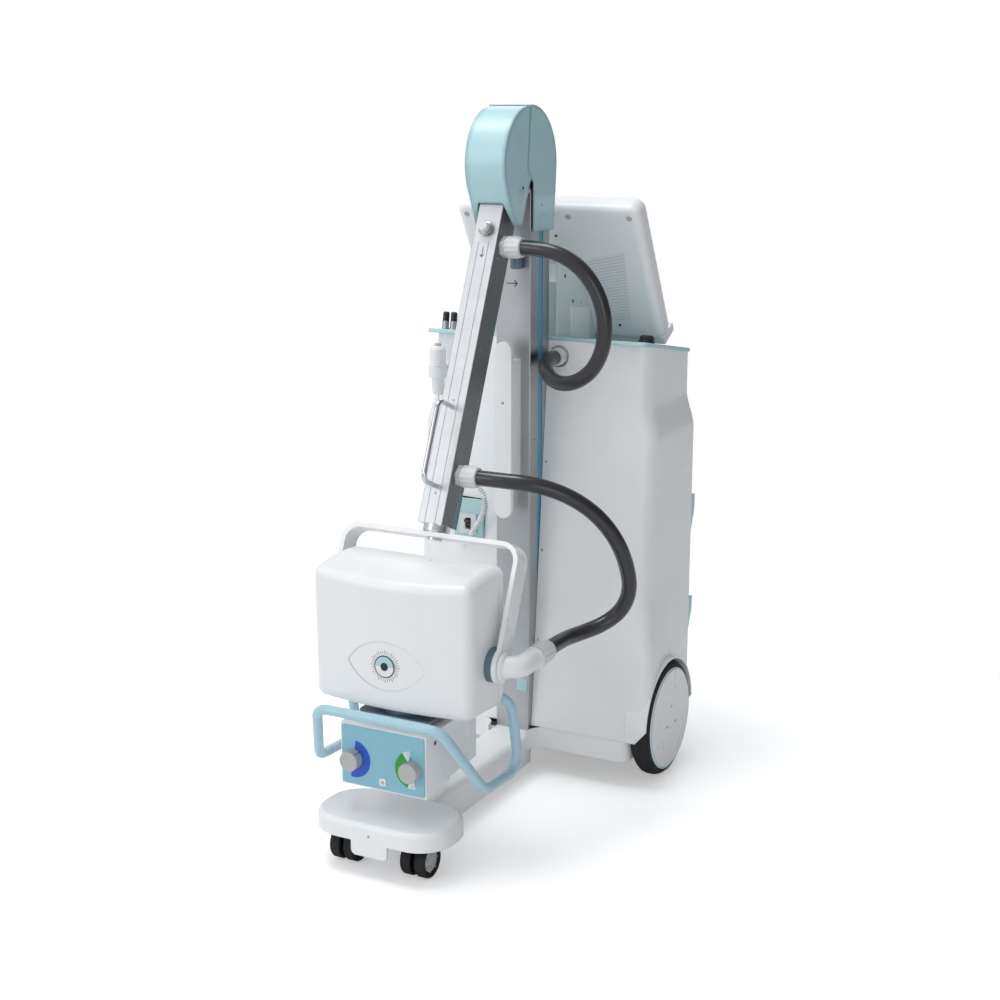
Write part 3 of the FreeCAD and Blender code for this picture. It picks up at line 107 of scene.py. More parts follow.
# %% Route points
UPPER = [(0.0783, -0.100, 1.2724), (0.142, -0.0012, 1.2724), (0.203, 0.012, 1.242), (0.243, 0.027, 1.188),
         (0.259, 0.039, 1.122), (0.254, 0.045, 1.058), (0.227, 0.047, 1.004), (0.180, 0.050, 0.972),
         (0.128, 0.063, 0.968), (0.086, 0.093, 0.990), (0.072, 0.135, 1.008), (0.072, 0.1737, 1.008)]
LOWER = [(0.0783, -0.2065, 0.7979), (0.142, -0.2065, 0.7979), (0.210, -0.179, 0.790), (0.267, -0.139, 0.762),
         (0.312, -0.098, 0.716), (0.343, -0.063, 0.654), (0.356, -0.037, 0.588), (0.356, -0.024, 0.536),
         (0.338, -0.023, 0.490), (0.305, -0.043, 0.459), (0.271, -0.081, 0.445), (0.253, -0.126, 0.4428),
         (0.250, -0.173, 0.4428), (0.250, -0.220, 0.4428)]
SWITCH = [(-0.240, 0.177, 0.897), (-0.240, 0.177, 0.866), (-0.236, 0.165, 0.812), (-0.214, 0.143, 0.762),
          (-0.174, 0.127, 0.728), (-0.130, 0.119, 0.714), (-0.095, 0.121, 0.694), (-0.084, 0.127, 0.660),
          (-0.094, 0.131, 0.622), (-0.116, 0.133, 0.588), (-0.136, 0.135, 0.560), (-0.150, 0.141, 0.532)]
GLAND_OUT = 78.3
UPPER_GLAND = 200
LOWER_GLAND = 717
ELBOW_OUT = 250
UPPER[0] = tuple(ARM @ Vector((GLAND_OUT, -15, -UPPER_GLAND)))
LOWER[0] = tuple(ARM @ Vector((GLAND_OUT, -15, -LOWER_GLAND)))
LOWER[-1] = tuple(HEAD @ Vector((ELBOW_OUT, 140.3, 0)))
print("route points:", len(UPPER), len(LOWER), len(SWITCH))


# %% Points read from a spline
def spline_points(route):
    """Points read from a smooth spline on the route, and its length."""
    curve = bpy.data.curves.new("route", "CURVE")
    curve.dimensions = "3D"
    curve.resolution_u = 24
    line = curve.splines.new("NURBS")
    line.points.add(len(route) - 1)
    for point, place in zip(line.points, route):
        point.co = (*place, 1)
    line.order_u = 3
    line.use_endpoint_u = True
    holder = bpy.data.objects.new("route", curve)
    mesh = bpy.data.meshes.new_from_object(holder)
    points = [vertex.co.copy() for vertex in mesh.vertices]
    bpy.data.objects.remove(holder)
    length = sum((b - a).length for a, b in zip(points, points[1:]))
    return points, length


upper_points, upper_length = spline_points(UPPER)
lower_points, lower_length = spline_points(LOWER)
switch_points, switch_length = spline_points(SWITCH)
print("routes in metres:", [round(length, 3) for length in (upper_length, lower_length, switch_length)])

# %% [markdown]
# ## From points to a tube
# A hose is a circle carried along its route. At each point two directions across the line are needed to draw the
# circle. They are handed on from one point to the next and only set upright again, so the tube doesn't twist. The mesh
# is made from points and not left as a curve.

# %% Mesh tube
def link(name, mesh):
    """A new object of the scene, at the origin."""
    piece = bpy.data.objects.new(name, mesh)
    scene.collection.objects.link(piece)
    return piece


def frames_along(points):
    """Each point with two directions across the line, which don't twist along it."""
    result = []
    side = (points[1] - points[0]).orthogonal().normalized()
    for index, point in enumerate(points):
        ahead = points[min(index + 1, len(points) - 1)] - points[max(index - 1, 0)]
        ahead.normalize()
        side = (side - ahead * side.dot(ahead)).normalized()
        result.append((point, side, ahead.cross(side)))
    return result


def tube_mesh(name, points, radius, sides):
    """A round tube along points, with sharp edges round its two flat ends."""
    form = bmesh.new()
    rings = []
    for point, across, up in frames_along(points):
        ring = []
        for step in range(sides):
            turn = 2 * math.pi * step / sides
            ring.append(form.verts.new(point + (across * math.cos(turn) + up * math.sin(turn)) * radius))
        rings.append(ring)
    for a, b in zip(rings, rings[1:]):
        for step in range(sides):
            after = (step + 1) % sides
            form.faces.new((a[step], a[after], b[after], b[step])).smooth = True
    form.faces.new(reversed(rings[0]))
    form.faces.new(rings[-1])
    mesh = bpy.data.meshes.new(name)
    form.to_mesh(mesh)
    form.free()
    mesh.set_sharp_from_angle(angle=math.radians(50))
    print(name, "with", len(mesh.polygons), "faces")
    return mesh


# %% [markdown]
# ## Finishes
# A colour picked from a screen has to be turned into scene-linear light before Blender can reckon with it. `srgb` does
# that. `add` places one node of any kind, gives it its settings and wires it, so a shader reads like a list.

# %% Colour and node helpers
def srgb(text):
    """A colour written as six hex digits, as scene-linear numbers."""
    parts = [int(text[i:i + 2], 16) / 255 for i in (0, 2, 4)]
    return [p / 12.92 if p <= 0.04045 else ((p + 0.055) / 1.055) ** 2.4 for p in parts] + [1]


def add(tree, kind, props=None, **inputs):
    """A node with its settings; an input named i0, i1 and so on is meant by its number."""
    node = tree.nodes.new(kind)
    for key, value in (props or {}).items():
        setattr(node, key, value)
    for key, value in inputs.items():
        numbered = key[0] == "i" and key[1:].isdigit()
        socket = node.inputs[int(key[1:])] if numbered else node.inputs[key.replace("_", " ")]
        if isinstance(value, bpy.types.NodeSocket):
            tree.links.new(value, socket)
        else:
            socket.default_value = value
    return node


print("middle grey as light:", round(srgb("808080")[0], 3))

# %% [markdown]
# Every surface of the real machine has something beside its colour: a tone that drifts a little, gloss that isn't
# quite even, a fine grain and edges that are never knife-sharp. One recipe lays these over each other from plain
# facts, so that each finish below is a short line. The patterns are sized in millimetres on object coordinates,
# which move with the piece. The worn edges are only shaded round, by a bevel node, and leave the mesh as it is.
# Where a finish asks for it, a painted shade darkens the colour of faces that look along X.

# %% The recipe
FINE_RELIEF = 0.001
BRUSH_RELIEF = 0.0006
BRUSH_WIDTH, BRUSH_LENGTH = 0.5, 45


def finish(name, colour, rough, metallic=0.0, vary=0.03, grain=0.05, grain_size=1.5, edge=1.0,
           coat=0.0, streak=None, lean=0.0, blotch=60.0, sides=1.0):
    """A surface with broad colour variation, uneven gloss, fine relief and softly worn edges.
    grain_size, blotch and edge are in millimetres; streak gives the direction of brushing and lean turns it;
    sides gives a painted shade: below 1 it darkens the colour of faces that look along X."""
    material = bpy.data.materials.new(name)
    material.use_nodes = True
    tree = material.node_tree
    shader = tree.nodes["Principled BSDF"]
    base = srgb(colour)
    place = add(tree, "ShaderNodeTexCoord")
    space = add(tree, "ShaderNodeMapping", Vector=place.outputs["Object"]).outputs[0]
    broad = add(tree, "ShaderNodeTexNoise", Vector=space, Scale=1000 / blotch, Detail=3.0, Roughness=0.6)
    tone = add(tree, "ShaderNodeValToRGB", i0=broad.outputs["Fac"])
    for stop, position, factor in zip(tone.color_ramp.elements, (0.3, 0.7), (1 - vary, 1 + vary)):
        stop.position = position
        stop.color = [min(1, c * factor) for c in base[:3]] + [1]
    if streak:
        thin = [1000 / BRUSH_WIDTH] * 3
        thin["XYZ".index(streak)] = 1000 / BRUSH_LENGTH
        lines = add(tree, "ShaderNodeMapping", Vector=place.outputs["Object"], Scale=thin, Rotation=(lean, 0, 0))
        fine = add(tree, "ShaderNodeTexNoise", Vector=lines.outputs[0], Scale=1.0, Detail=4.0, Roughness=0.65)
    else:
        fine = add(tree, "ShaderNodeTexNoise", Vector=space, Scale=1000 / grain_size, Detail=2.0)
    relief = fine.outputs["Fac"]
    gloss = add(tree, "ShaderNodeMapRange", i0=relief if streak else broad.outputs["Fac"], i1=0.25, i2=0.75,
                i3=max(rough * 0.8, 0.02), i4=min(rough * 1.25, 1))
    soft = add(tree, "ShaderNodeBevel", {"samples": 4}, Radius=edge * MM)
    bump = add(tree, "ShaderNodeBump", Height=relief, Strength=grain,
               Distance=BRUSH_RELIEF if streak else FINE_RELIEF, Normal=soft.outputs[0])
    # Painted shade: the colour is scaled down by the factor sides on faces that look along X.
    face = add(tree, "ShaderNodeSeparateXYZ", i0=place.outputs["Normal"])
    across = add(tree, "ShaderNodeMath", {"operation": "ABSOLUTE"}, i0=face.outputs[0])
    painted_side_shade = add(tree, "ShaderNodeMapRange", i0=across.outputs[0], i1=0.5, i2=0.9, i3=1.0, i4=sides)
    base_with_painted_side_shade = add(tree, "ShaderNodeVectorMath", {"operation": "SCALE"}, i0=tone.outputs[0], Scale=painted_side_shade.outputs[0])
    tree.links.new(base_with_painted_side_shade.outputs[0], shader.inputs["Base Color"])
    tree.links.new(gloss.outputs[0], shader.inputs["Roughness"])
    tree.links.new(bump.outputs[0], shader.inputs["Normal"])
    shader.inputs["Metallic"].default_value = metallic
    shader.inputs["Coat Weight"].default_value = coat
    shader.inputs["Coat Roughness"].default_value = 0.12
    print("finish", name, "with", len(tree.nodes), "nodes")
    return material


# %% [markdown]
# ### Plastics and paints
# The covers are moulded plastic and the yoke and wheel discs are painted metal. Both are white, and the eye tells them
# apart by their gloss: plastic has a fine orange peel that breaks up reflections, paint is smoother and shines harder.
# The blues are one paint in several tones.

# %% White surfaces
# Moulded covers: orange peel and a thin gloss give broad, soft highlights.
WHITE = finish("moulded_white", "ECEEEF", 0.34, vary=0.012, grain=0.12, grain_size=1.1, edge=1.6, coat=0.15)
# The same plastic on the tube head, where a wider soft edge shows the fuller rounding.
HEAD_WHITE = finish("head_white", "ECEEEF", 0.34, vary=0.012, grain=0.12, grain_size=1.1, edge=5, coat=0.15)
# Powder-coated metal: smoother than the covers, with a clear shine.
WARM = finish("painted_white", "E9EBEC", 0.3, vary=0.01, grain=0.03, grain_size=0.8, edge=1.2, coat=0.3)
# Moulded ribs: their crisp edges draw thin lines of light.
RIB_WHITE = finish("ribbed_white", "E4E8EA", 0.36, vary=0.01, grain=0.05, edge=0.15)
# Painted shade: a flat grey stands for the shade in the deep gaps between the ribs, which read as grey lines.
RIB_PAINTED_SHADE = finish("rib_painted_shade", "8E999C", 0.5, vary=0.02, grain=0.02, edge=0.1)

# %% Blue surfaces
# Light blue paint: an even tone with a soft shine.
BLUE = finish("light_blue_paint", "AED2D7", 0.33, vary=0.02, grain=0.08, grain_size=1.4, edge=1.2, coat=0.2)
# The same paint on the two head covers, whose crown is rounded so widely that light rolls over it.
COVER = finish("cover_blue_paint", "AED2D7", 0.33, vary=0.02, grain=0.08, grain_size=1.4, edge=13, coat=0.15)
# A printed film on a flat panel: a deeper, even blue.
PANEL = finish("panel_blue", "86BCCC", 0.36, vary=0.02, grain=0.05, edge=0.6)
# A lacquered tube: long, narrow highlights along its bends.
TUBE_BLUE = finish("handle_blue", "A9CCDA", 0.3, vary=0.02, grain=0.03, grain_size=0.8, edge=1.0, coat=0.3)
# Painted sheet metal in a pale blue-grey, flat and quiet.
PALE = finish("pale_sheet", "D3DFE0", 0.36, vary=0.02, grain=0.06, edge=0.8)
# Plastic strips pressed into a groove: a strong colour with little shine.
BLUE_DEEP = finish("blue_strip", "4FA3BF", 0.4, vary=0.03, grain=0.05, edge=0.4)

# %% Grey and black surfaces
# Moulded nuts: light grey, a little coarse to the touch.
GREY_NUT = finish("ribbed_nut", "D5D8D8", 0.36, vary=0.03, grain=0.1, grain_size=0.9, edge=0.5)
# Knobs and grips: a clear grain keeps fingers from slipping and dulls the highlights.
GREY = finish("grey_plastic", "B4B5B3", 0.42, vary=0.03, grain=0.18, grain_size=0.9, edge=0.8)
# Black plastic is never quite black: uneven gloss keeps its form readable.
DARK = finish("black_plastic", "1B1C1E", 0.4, vary=0.08, grain=0.15, grain_size=0.9, edge=0.6)
# Dark grey paint on the steel under the covers, the dullest paint here.
FRAME = finish("frame_paint", "4A4F55", 0.45, vary=0.05, grain=0.1, edge=0.8)

# %% [markdown]
# ### Metals
# Column and arm are extruded aluminium with a brushed look along their length. Brushing draws reflections out into
# streaks, so its noise is half a millimetre wide and many times longer. Bare metal has no colour of its own under the
# gloss: what the eye sees is the room, more or less blurred.

# %% Metals
# Brushed aluminium of the column: upright streaks in a soft grey.
ALLOY = finish("brushed_alloy", "B4B7B9", 0.34, metallic=1.0, vary=0.05, grain=0.35, streak="Z", edge=0.7)
# The same on the leaning arm, duller; its flanks mirror a darker part of the room than its front does, and a painted
# shade darkens their colour too.
ALLOY_ARM_PAINTED_SHADE = finish("brushed_alloy_arm_painted_shade", "CFD1D3", 0.42, metallic=0.9, vary=0.05, grain=0.35, streak="Z", lean=LEAN,
                   edge=0.8, sides=0.36)
# Chrome of the inner tube and the wire grip: almost a mirror.
CHROME = finish("chrome", "D6D9DC", 0.07, metallic=1.0, vary=0.01, grain=0.02, edge=0.6)
# Turned and milled steel of screws and pins: a satin shine with small glints.
STEEL = finish("satin_steel", "A9ACAE", 0.28, metallic=1.0, vary=0.05, grain=0.12, grain_size=0.8, edge=0.6)
# Metal with a thin blue-grey paint: half a mirror, half a colour.
SLATE = finish("blue_grey_metal", "6E7F8B", 0.42, metallic=0.55, vary=0.06, grain=0.1, edge=0.6)

# %% [markdown]
# ### Rubber, hose sleeve, prints and glass
# Rubber and the sleeve of the hoses are both almost black. Rubber is dull all over, while the sleeve has a clear skin
# that shines, and that shine is what shows how a hose bends.

# %% Rubber, sleeve, prints and glass
# Tyre rubber: matt and slightly dusty, in small patches.
RUBBER = finish("tyre_rubber", "101012", 0.7, vary=0.12, grain=0.35, grain_size=0.7, edge=1.0, blotch=30)
# Hose sleeve: a smooth dark skin under a coat, with one long highlight.
HOSE = finish("hose_sleeve", "1F1E20", 0.36, vary=0.04, grain=0.02, grain_size=0.8, edge=0.4, coat=0.5, blotch=40)
# Printed scales: strong flat colours.
PRINT_BLUE = finish("dial_blue", "2457C5", 0.45, vary=0.03, grain=0.03, edge=0.1)
PRINT_GREEN = finish("dial_green", "2E9E3E", 0.45, vary=0.03, grain=0.03, edge=0.1)
# Printing ink of arrows, ticks and pointer lines: dark grey, no relief.
INK = finish("ink", "33383C", 0.5, vary=0.05, grain=0.02, edge=0.1)
# Screen that is switched off: dark glass with sharp reflections.
GLASS = finish("display_glass", "10151A", 0.06, vary=0.1, grain=0.0, edge=0.4, coat=0.6)
print("finishes:", len(bpy.data.materials))

# %% [markdown]
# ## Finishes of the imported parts
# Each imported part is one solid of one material, so one finish each is enough.

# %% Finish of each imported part
FINISHES = (
    (WHITE, "front_leg_cover", "base_skirt", "caster_cover", "cabinet_shell", "cabinet_rear_panel", "console_shell",
     "column_pad", "hand_switch", "switch_holder", "hose_elbow", "collimator_body"),
    (HEAD_WHITE, "tube_head_front", "tube_head_rear"),
    (WARM, "rear_wheel_disc_left", "rear_wheel_disc_right", "yoke", "light_button"),
    (BLUE, "top_plate", "cassette_rack", "breaker_panel", "tilt_dial"),
    (COVER, "rear_head_cover", "front_head_cover"),
    (PANEL, "collimator_panel"), (TUBE_BLUE, "head_handle"), (PALE, "console_stand"),
    (GREY_NUT, "breaker_body", "lock_plunger"),
    (GREY, "push_handle", "cabinet_hose_gland", "arm_hose_glands", "hand_switch_button", "field_knob_left",
     "field_knob_right"),
    (DARK, "cable_sockets", "breaker_lever", "caster_fork_left", "caster_fork_right"),
    (FRAME, "chassis_frame", "power_unit"),
    (ALLOY, "column_profile"), (ALLOY_ARM_PAINTED_SHADE, "arm_profile"),
    (CHROME, "arm_collar", "arm_handle", "inner_tube"),
    (STEEL, "column_head_block", "pivot_axle", "balance_springs", "arm_fork", "xray_tube"),
    (SLATE, "trunnion_pins", "swivel_plate"),
    (RUBBER, "rear_tyre_left", "rear_tyre_right", "caster_wheels_left", "caster_wheels_right"),
    (GLASS, "display_screen"),
)
for surface, *nodes in FINISHES:
    for node in nodes:
        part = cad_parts[node]
        part.data.materials.clear()
        part.data.materials.append(surface)
print("parts with a finish:", sum(len(row) - 1 for row in FINISHES))

# %% [markdown]
# ## Hoses
# Each hose is a round tube on its spline. The lower hose passes three bodies, arm, sliding tube and yoke, and is made
# in two lengths that meet in the middle.

# %% Hoses
HOSE_RADIUS = 0.017
POINT_GAP = 0.005


def steps_apart(points, gap):
    """Every point of a line that is at least gap from the last one kept."""
    kept = [points[0]]
    for point in points[1:-1]:
        if (point - kept[-1]).length >= gap:
            kept.append(point)
    return kept + [points[-1]]


def hose(name, points):
    """One length of hose along the points."""
    piece = link(name, tube_mesh(name, points, HOSE_RADIUS, 36))
    piece.data.materials.append(HOSE)
    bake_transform(piece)
    return piece


upper_points = steps_apart(upper_points, POINT_GAP)
lower_points = steps_apart(lower_points, POINT_GAP)
half = len(lower_points) // 2
upper_hose = hose("upper_hose_tube", upper_points)
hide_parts("upper_hose")
lower_first = hose("lower_hose_first", lower_points[:half + 1])
hose("lower_hose_second", lower_points[half:])
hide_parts("lower_hose")

# %% [markdown]
# ## Curly cord
# The hand switch hangs on a curly cord like that of an old telephone. Its helix is wound on the switch's route: at
# each step along the spline the wire stands a little off it, and the direction turns once per pitch. A short tail
# at each end is left straight, and the winding swells out of it.

# %% Curly cord
COIL_RADIUS = 0.0045
COIL_PITCH = 0.0062
COIL_TAIL = 0.03
COIL_SWELL = 0.02
WIRE_RADIUS = 0.0022
STEPS_PER_TURN = 14


def winding(points):
    """The wire's own path round the route."""
    lengths = [0]
    for a, b in zip(points, points[1:]):
        lengths.append(lengths[-1] + (b - a).length)
    whole = lengths[-1]
    frames = frames_along(points)
    result = []
    count = int(whole / COIL_PITCH * STEPS_PER_TURN)
    index = 0
    for step in range(count + 1):
        run = whole * step / count
        while index < len(lengths) - 2 and lengths[index + 1] < run:
            index += 1
        part = (run - lengths[index]) / (lengths[index + 1] - lengths[index])
        (a, across, up), (b, _, _) = frames[index], frames[index + 1]
        centre = a.lerp(b, part)
        swell = max(0, min(1, (run - COIL_TAIL) / COIL_SWELL, (whole - COIL_TAIL - run) / COIL_SWELL))
        turn = 2 * math.pi * run / COIL_PITCH
        result.append(centre + (across * math.cos(turn) + up * math.sin(turn)) * COIL_RADIUS * swell)
    return result


coil_path = winding(switch_points)
curly = link("curly_cord", tube_mesh("curly_cord", coil_path, WIRE_RADIUS, 8))
curly.data.materials.append(WARM)
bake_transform(curly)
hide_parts("switch_cord")

# %% [markdown]
# ## Tools for small fittings
# Screws, glands, dials and strips are turned, sawn or cut from sheet, and each way of making has its operator. A turned
# part is half an outline, spun once round its axis. A box is a cube with bevelled edges. A sheet or a print is a flat
# face, extruded by its thickness. Every shape is made upright at the origin, where numbers stay simple, and is then
# laid along one of five directions and moved to its place.

# %% Directions
UP = {"Z": Matrix.Identity(4),
      "X": Matrix.Rotation(math.radians(90), 4, "Y"), "-X": Matrix.Rotation(math.radians(-90), 4, "Y"),
      "Y": Matrix.Rotation(math.radians(-90), 4, "X"), "-Y": Matrix.Rotation(math.radians(90), 4, "X")}
SIDES = ((1, "X"), (-1, "-X"))


def corners_in(geometry):
    """An operator gives back corners, edges and faces together; this picks the corners."""
    return [item for item in geometry if isinstance(item, bmesh.types.BMVert)]


print("directions:", *UP)

# %% [markdown]
# `Form` collects shapes in one frame of the machine and makes one piece of them. In a full spin the last step falls on
# the first, so `use_merge` joins the two and leaves no seam. The ends of a turned part are holes until they are
# filled. Only the four-cornered faces of its side are shaded smooth, and the filled ends stay flat. The rounded
# edges of a box have three segments, enough to catch a highlight.

# %% The form
class Form:
    """Shapes in one frame of the machine, in millimetres, that become one piece."""

    def __init__(self, space):
        self.mesh = bmesh.new()
        self.space = space

    def join(self, part, place=(0, 0, 0), axis="Z"):
        """Lays a shape along an axis, moves it to its place and adds it."""
        part.transform(Matrix.Translation(Vector(place)) @ UP[axis])
        shape = bpy.data.meshes.new("shape")
        part.to_mesh(shape)
        part.free()
        self.mesh.from_mesh(shape)
        bpy.data.meshes.remove(shape)

    def lathe(self, profile, place=(0, 0, 0), axis="Z", sides=40, shape=None, hollow=False):
        """Spins (radius, height) pairs round an axis, with flat ends, or as a closed ring where it is hollow.
        shape gives a factor for the radius at an angle and at a point of the profile, counted from 0."""
        part = bmesh.new()
        points = [part.verts.new((radius, 0, height)) for radius, height in profile]
        after = points[1:] + points[:1] if hollow else points[1:]
        edges = [part.edges.new(pair) for pair in zip(points, after)]
        bmesh.ops.spin(part, geom=points + edges, cent=(0, 0, 0), axis=(0, 0, 1), angle=2 * math.pi, steps=sides,
                       use_merge=True)
        if not hollow:
            bmesh.ops.holes_fill(part, edges=[edge for edge in part.edges if edge.is_boundary], sides=0)
        for face in part.faces:
            face.smooth = len(face.verts) == 4
        for vert in part.verts if shape else ():
            spot = Vector((math.hypot(vert.co.x, vert.co.y), vert.co.z))
            index = min(range(len(profile)), key=lambda number: (Vector(profile[number]) - spot).length)
            factor = shape(math.atan2(vert.co.y, vert.co.x), index)
            vert.co = (vert.co.x * factor, vert.co.y * factor, vert.co.z)
        self.join(part, place, axis)

    def block(self, low, high, bevel):
        """A box between two corners, with rounded edges."""
        part = bmesh.new()
        low, high = Vector(low), Vector(high)
        stretch = Matrix.Translation((low + high) / 2) @ Matrix.Diagonal((*(high - low), 1))
        bmesh.ops.create_cube(part, size=1, matrix=stretch)
        bmesh.ops.bevel(part, geom=part.edges[:], offset=bevel, affect="EDGES", segments=3, profile=0.5, material=-1)
        self.join(part)

    def prism(self, corners, shift, place=(0, 0, 0), axis="Z"):
        """A flat face between corners, extruded by shift."""
        part = bmesh.new()
        face = part.faces.new([part.verts.new(corner) for corner in corners])
        grown = bmesh.ops.extrude_face_region(part, geom=[face])["geom"]
        bmesh.ops.translate(part, vec=shift, verts=corners_in(grown))
        self.join(part, place, axis)

    def sheet(self, outline, thick, place=(0, 0, 0), axis="Z"):
        """A flat outline in the plane across the axis, raised by its thickness."""
        self.prism([(x, y, 0) for x, y in outline], (0, 0, thick), place, axis)

    def piece(self, name, surface, body, slot):
        """Makes the piece, which moves with a body and takes the surface; slot is not used."""
        bmesh.ops.recalc_face_normals(self.mesh, faces=self.mesh.faces)
        bmesh.ops.transform(self.mesh, matrix=self.space, verts=self.mesh.verts)
        mesh = bpy.data.meshes.new(name)
        self.mesh.to_mesh(mesh)
        self.mesh.free()
        mesh.materials.append(surface)
        mesh.set_sharp_from_angle(angle=math.radians(35))
        made = link(name, mesh)
        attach(made, body)
        print(name, "on", body, "with", len(mesh.polygons), "faces")
        return made


# %% [markdown]
# ## Outlines that come back
# An arrow, a part of a circle and a thin bar are drawn once, flat and round the origin, and are turned where they are
# needed. That is less work than drawing every tick of a dial where it lies, and all ticks stay alike.

# %% Arrow, arc and bar
ARROW = [(-16, -1), (9, -1), (4, -6), (6.5, -7), (14, 0), (6.5, 7), (4, 6), (9, 1), (-16, 1)]


def arc(radius, start, end, steps):
    """Points on a circle round the origin, between two angles in degrees."""
    turns = [math.radians(start + (end - start) * step / steps) for step in range(steps + 1)]
    return [(radius * math.cos(turn), radius * math.sin(turn)) for turn in turns]


def bar(near, far, half):
    """A thin bar that points away from the origin, as a tick on a dial does."""
    return [(near, -half), (far, -half), (far, half), (near, half)]


def spun(outline, turn):
    """An outline turned about the origin."""
    return [(x * math.cos(turn) - y * math.sin(turn), x * math.sin(turn) + y * math.cos(turn)) for x, y in outline]


print("corners of the arrow:", len(ARROW))

# %% [markdown]
# ## Screws
# The covers are held by small screws with a low dome and a hexagon socket. The head is spun as a round part, and the
# points of the socket are then pushed out to a hexagon. No hole has to be cut, so the mesh stays clean.

# %% Screw
def sixsided(turn):
    """How much farther the side of a hexagon lies than the circle inside it."""
    return 1 / math.cos((turn + math.pi / 6) % (math.pi / 3) - math.pi / 6)


def screw(form, place, axis, radius):
    """A low domed head with a hexagon socket."""
    profile = [(radius, -0.2), (radius, radius * 0.25), (radius * 0.82, radius * 0.45), (radius * 0.55, radius * 0.5),
               (radius * 0.42, radius * 0.5), (radius * 0.42, radius * 0.12)]
    form.lathe(profile, place, axis, 24, lambda turn, index: sixsided(turn) if index > 3 else 1)


print("corner of a hexagon:", round(sixsided(math.pi / 6), 4), "times its inner circle")

# %% [markdown]
# ## Glands
# A gland holds a hose where it enters a part: a hexagon foot is screwed in, and a nut with ribs for the fingers clamps
# the hose. Foot and nut are spun too. A wave on the radius raises the ribs; it is cut off above and below, so that ribs
# and gaps get flat ground like moulded ones.

# %% Gland
RIBS = 14
RIB_DEPTH = 0.045


def ribbed(turn):
    return 1 + RIB_DEPTH * max(-0.6, min(0.6, 1.4 * math.cos(turn * RIBS)))


def gland(form, place, axis, long, radius, hexagon=True):
    """A hexagon foot, a neck and a ribbed nut that closes on the hose."""
    if hexagon:
        foot = [(radius * 0.84, 0), (radius * 0.86, 0.8), (radius * 0.86, 8), (radius * 0.8, 9)]
        form.lathe(foot, place, axis, 60, lambda turn, index: sixsided(turn))
    form.lathe([(radius * 0.8, 0), (radius * 0.8, 14)], place, axis)
    nut = [(radius * 0.86, 12), (radius * 0.94, 12.6), (radius * 0.96, 14), (radius * 0.95, long - 12),
           (radius * 0.9, long - 8), (radius * 0.9, long - 3)]
    form.lathe(nut, place, axis, 12 * RIBS, lambda turn, index: ribbed(turn) if index in (1, 2, 3) else 1)
    form.lathe([(radius * 0.9, long - 3.5), (radius * 0.88, long - 1), (HOSE_RADIUS / MM + 0.4, long)], place, axis)


print("ribs stand", round(100 * (ribbed(0) - ribbed(math.pi / RIBS)), 1), "per cent of the radius over the gaps")

# %% [markdown]
# ## Column
# Two blue strips lie in grooves along the column, an arrow is printed at its top, and a small tag sits near its foot.
# The dark round post is the stop on which the arm rests when it hangs down. Strips and tag are thin blocks with tiny
# rounded edges, because without a rounding they would catch no light.

# %% Column strips, arrow, stop and tag
def strips(form, inner, outer, low, high, bevel):
    """A strip on each side, from inner to outer across the machine and between two corners given as (y, z)."""
    for side, _ in SIDES:
        left, right = sorted((side * inner, side * outer))
        form.block((left, *low), (right, *high), bevel)


form = Form(BASE)
strips(form, 41.05, 42.3, (41.4, 117), (63.6, 1384), 0.3)
form.piece("column_strips", BLUE_DEEP, "base", "trim")

form = Form(BASE)
form.sheet([(x, y * 1.1) for x, y in ARROW], 0.25, (-2, 0.05, 1182), "-Y")
form.piece("column_arrow", INK, "base", "black")

# %% Sleeves of the two small sockets on the top plate
form = Form(PLATE)
for x in (-272, -250):
    form.lathe([(9.4, 0.4), (9.4, 5), (8.3, 6), (8.3, 21), (0.1, 21)], (x, 62, 0))
form.piece("socket_sleeves", STEEL, "base", "steel")

# %% Stop and tag
form = Form(BASE)
form.lathe([(9, 0), (12.5, 1.5), (13, 4), (13, 38), (11, 41), (0.1, 41)], (14, -13, 1216))
form.piece("arm_stop", SLATE, "base", "black")

form = Form(BASE)
form.block((12, -1.2, 208), (39, 0.05, 237), 0.5)
form.piece("column_tag", BLUE, "base", "trim")

# %% [markdown]
# ## Screws of the covers
# The cabinet's front leans back and bulges, so a screw can't be placed on it by eye. `cabinet_front` gives the depth
# of its surface at any width and height, with the same curve that shaped the solid, and each screw takes its place
# from it.

# %% Cabinet and cover screws
def cabinet_front(x, z):
    """The Y of the cabinet's front face."""
    up = z - 118
    return 14 + 0.074 * up + 1.3e-5 * up ** 2 + x * x / 2194


form = Form(BASE)
for place in ((0, -52, 914), (0, -52, 738)):
    screw(form, place, "-Y", 3.6)
for z in (549, 330, 760):
    for side, _ in SIDES:
        screw(form, (side * 53, cabinet_front(53, z), z), "-Y", 3)
screw(form, (0, -656, 93), "-Y", 2.6)
for z in (330, 820):
    screw(form, (44, 24, z), "X", 2.6)
form.piece("cabinet_screws", STEEL, "base", "steel")

form = Form(PIVOT)
for side, axis in SIDES:
    screw(form, (side * 52, 52, -92), axis, 2.8)
form.piece("rear_cover_screws", STEEL, "base", "steel")

form = Form(PIVOT)
for side, axis in SIDES:
    screw(form, (side * 49, -36, -52), axis, 3)
form.piece("front_cover_screws", DARK, "arm", "black")

# %% [markdown]
# ## Back of the console
# The photograph shows the console from behind. Its shell is screwed on through four grey cups, and two fields of ribs
# let warm air out. A cup is a hollow turned ring with a disc in it.

# %% Screw cups and painted shade of the holes
form = Form(CONSOLE)
for x in (211, 57):
    for side, _ in SIDES:
        place = (side * x, 0, 347)
        form.lathe([(7, -0.3), (7, 0.2), (6, 0.6), (4.8, 0.5), (4.2, -0.2)], place, "-Y", 28, hollow=True)
        form.lathe([(4.3, -0.2), (4.3, 0.1), (0.1, 0.1)], place, "-Y", 24)
form.piece("console_screw_cups", GREY, "base", "grey")
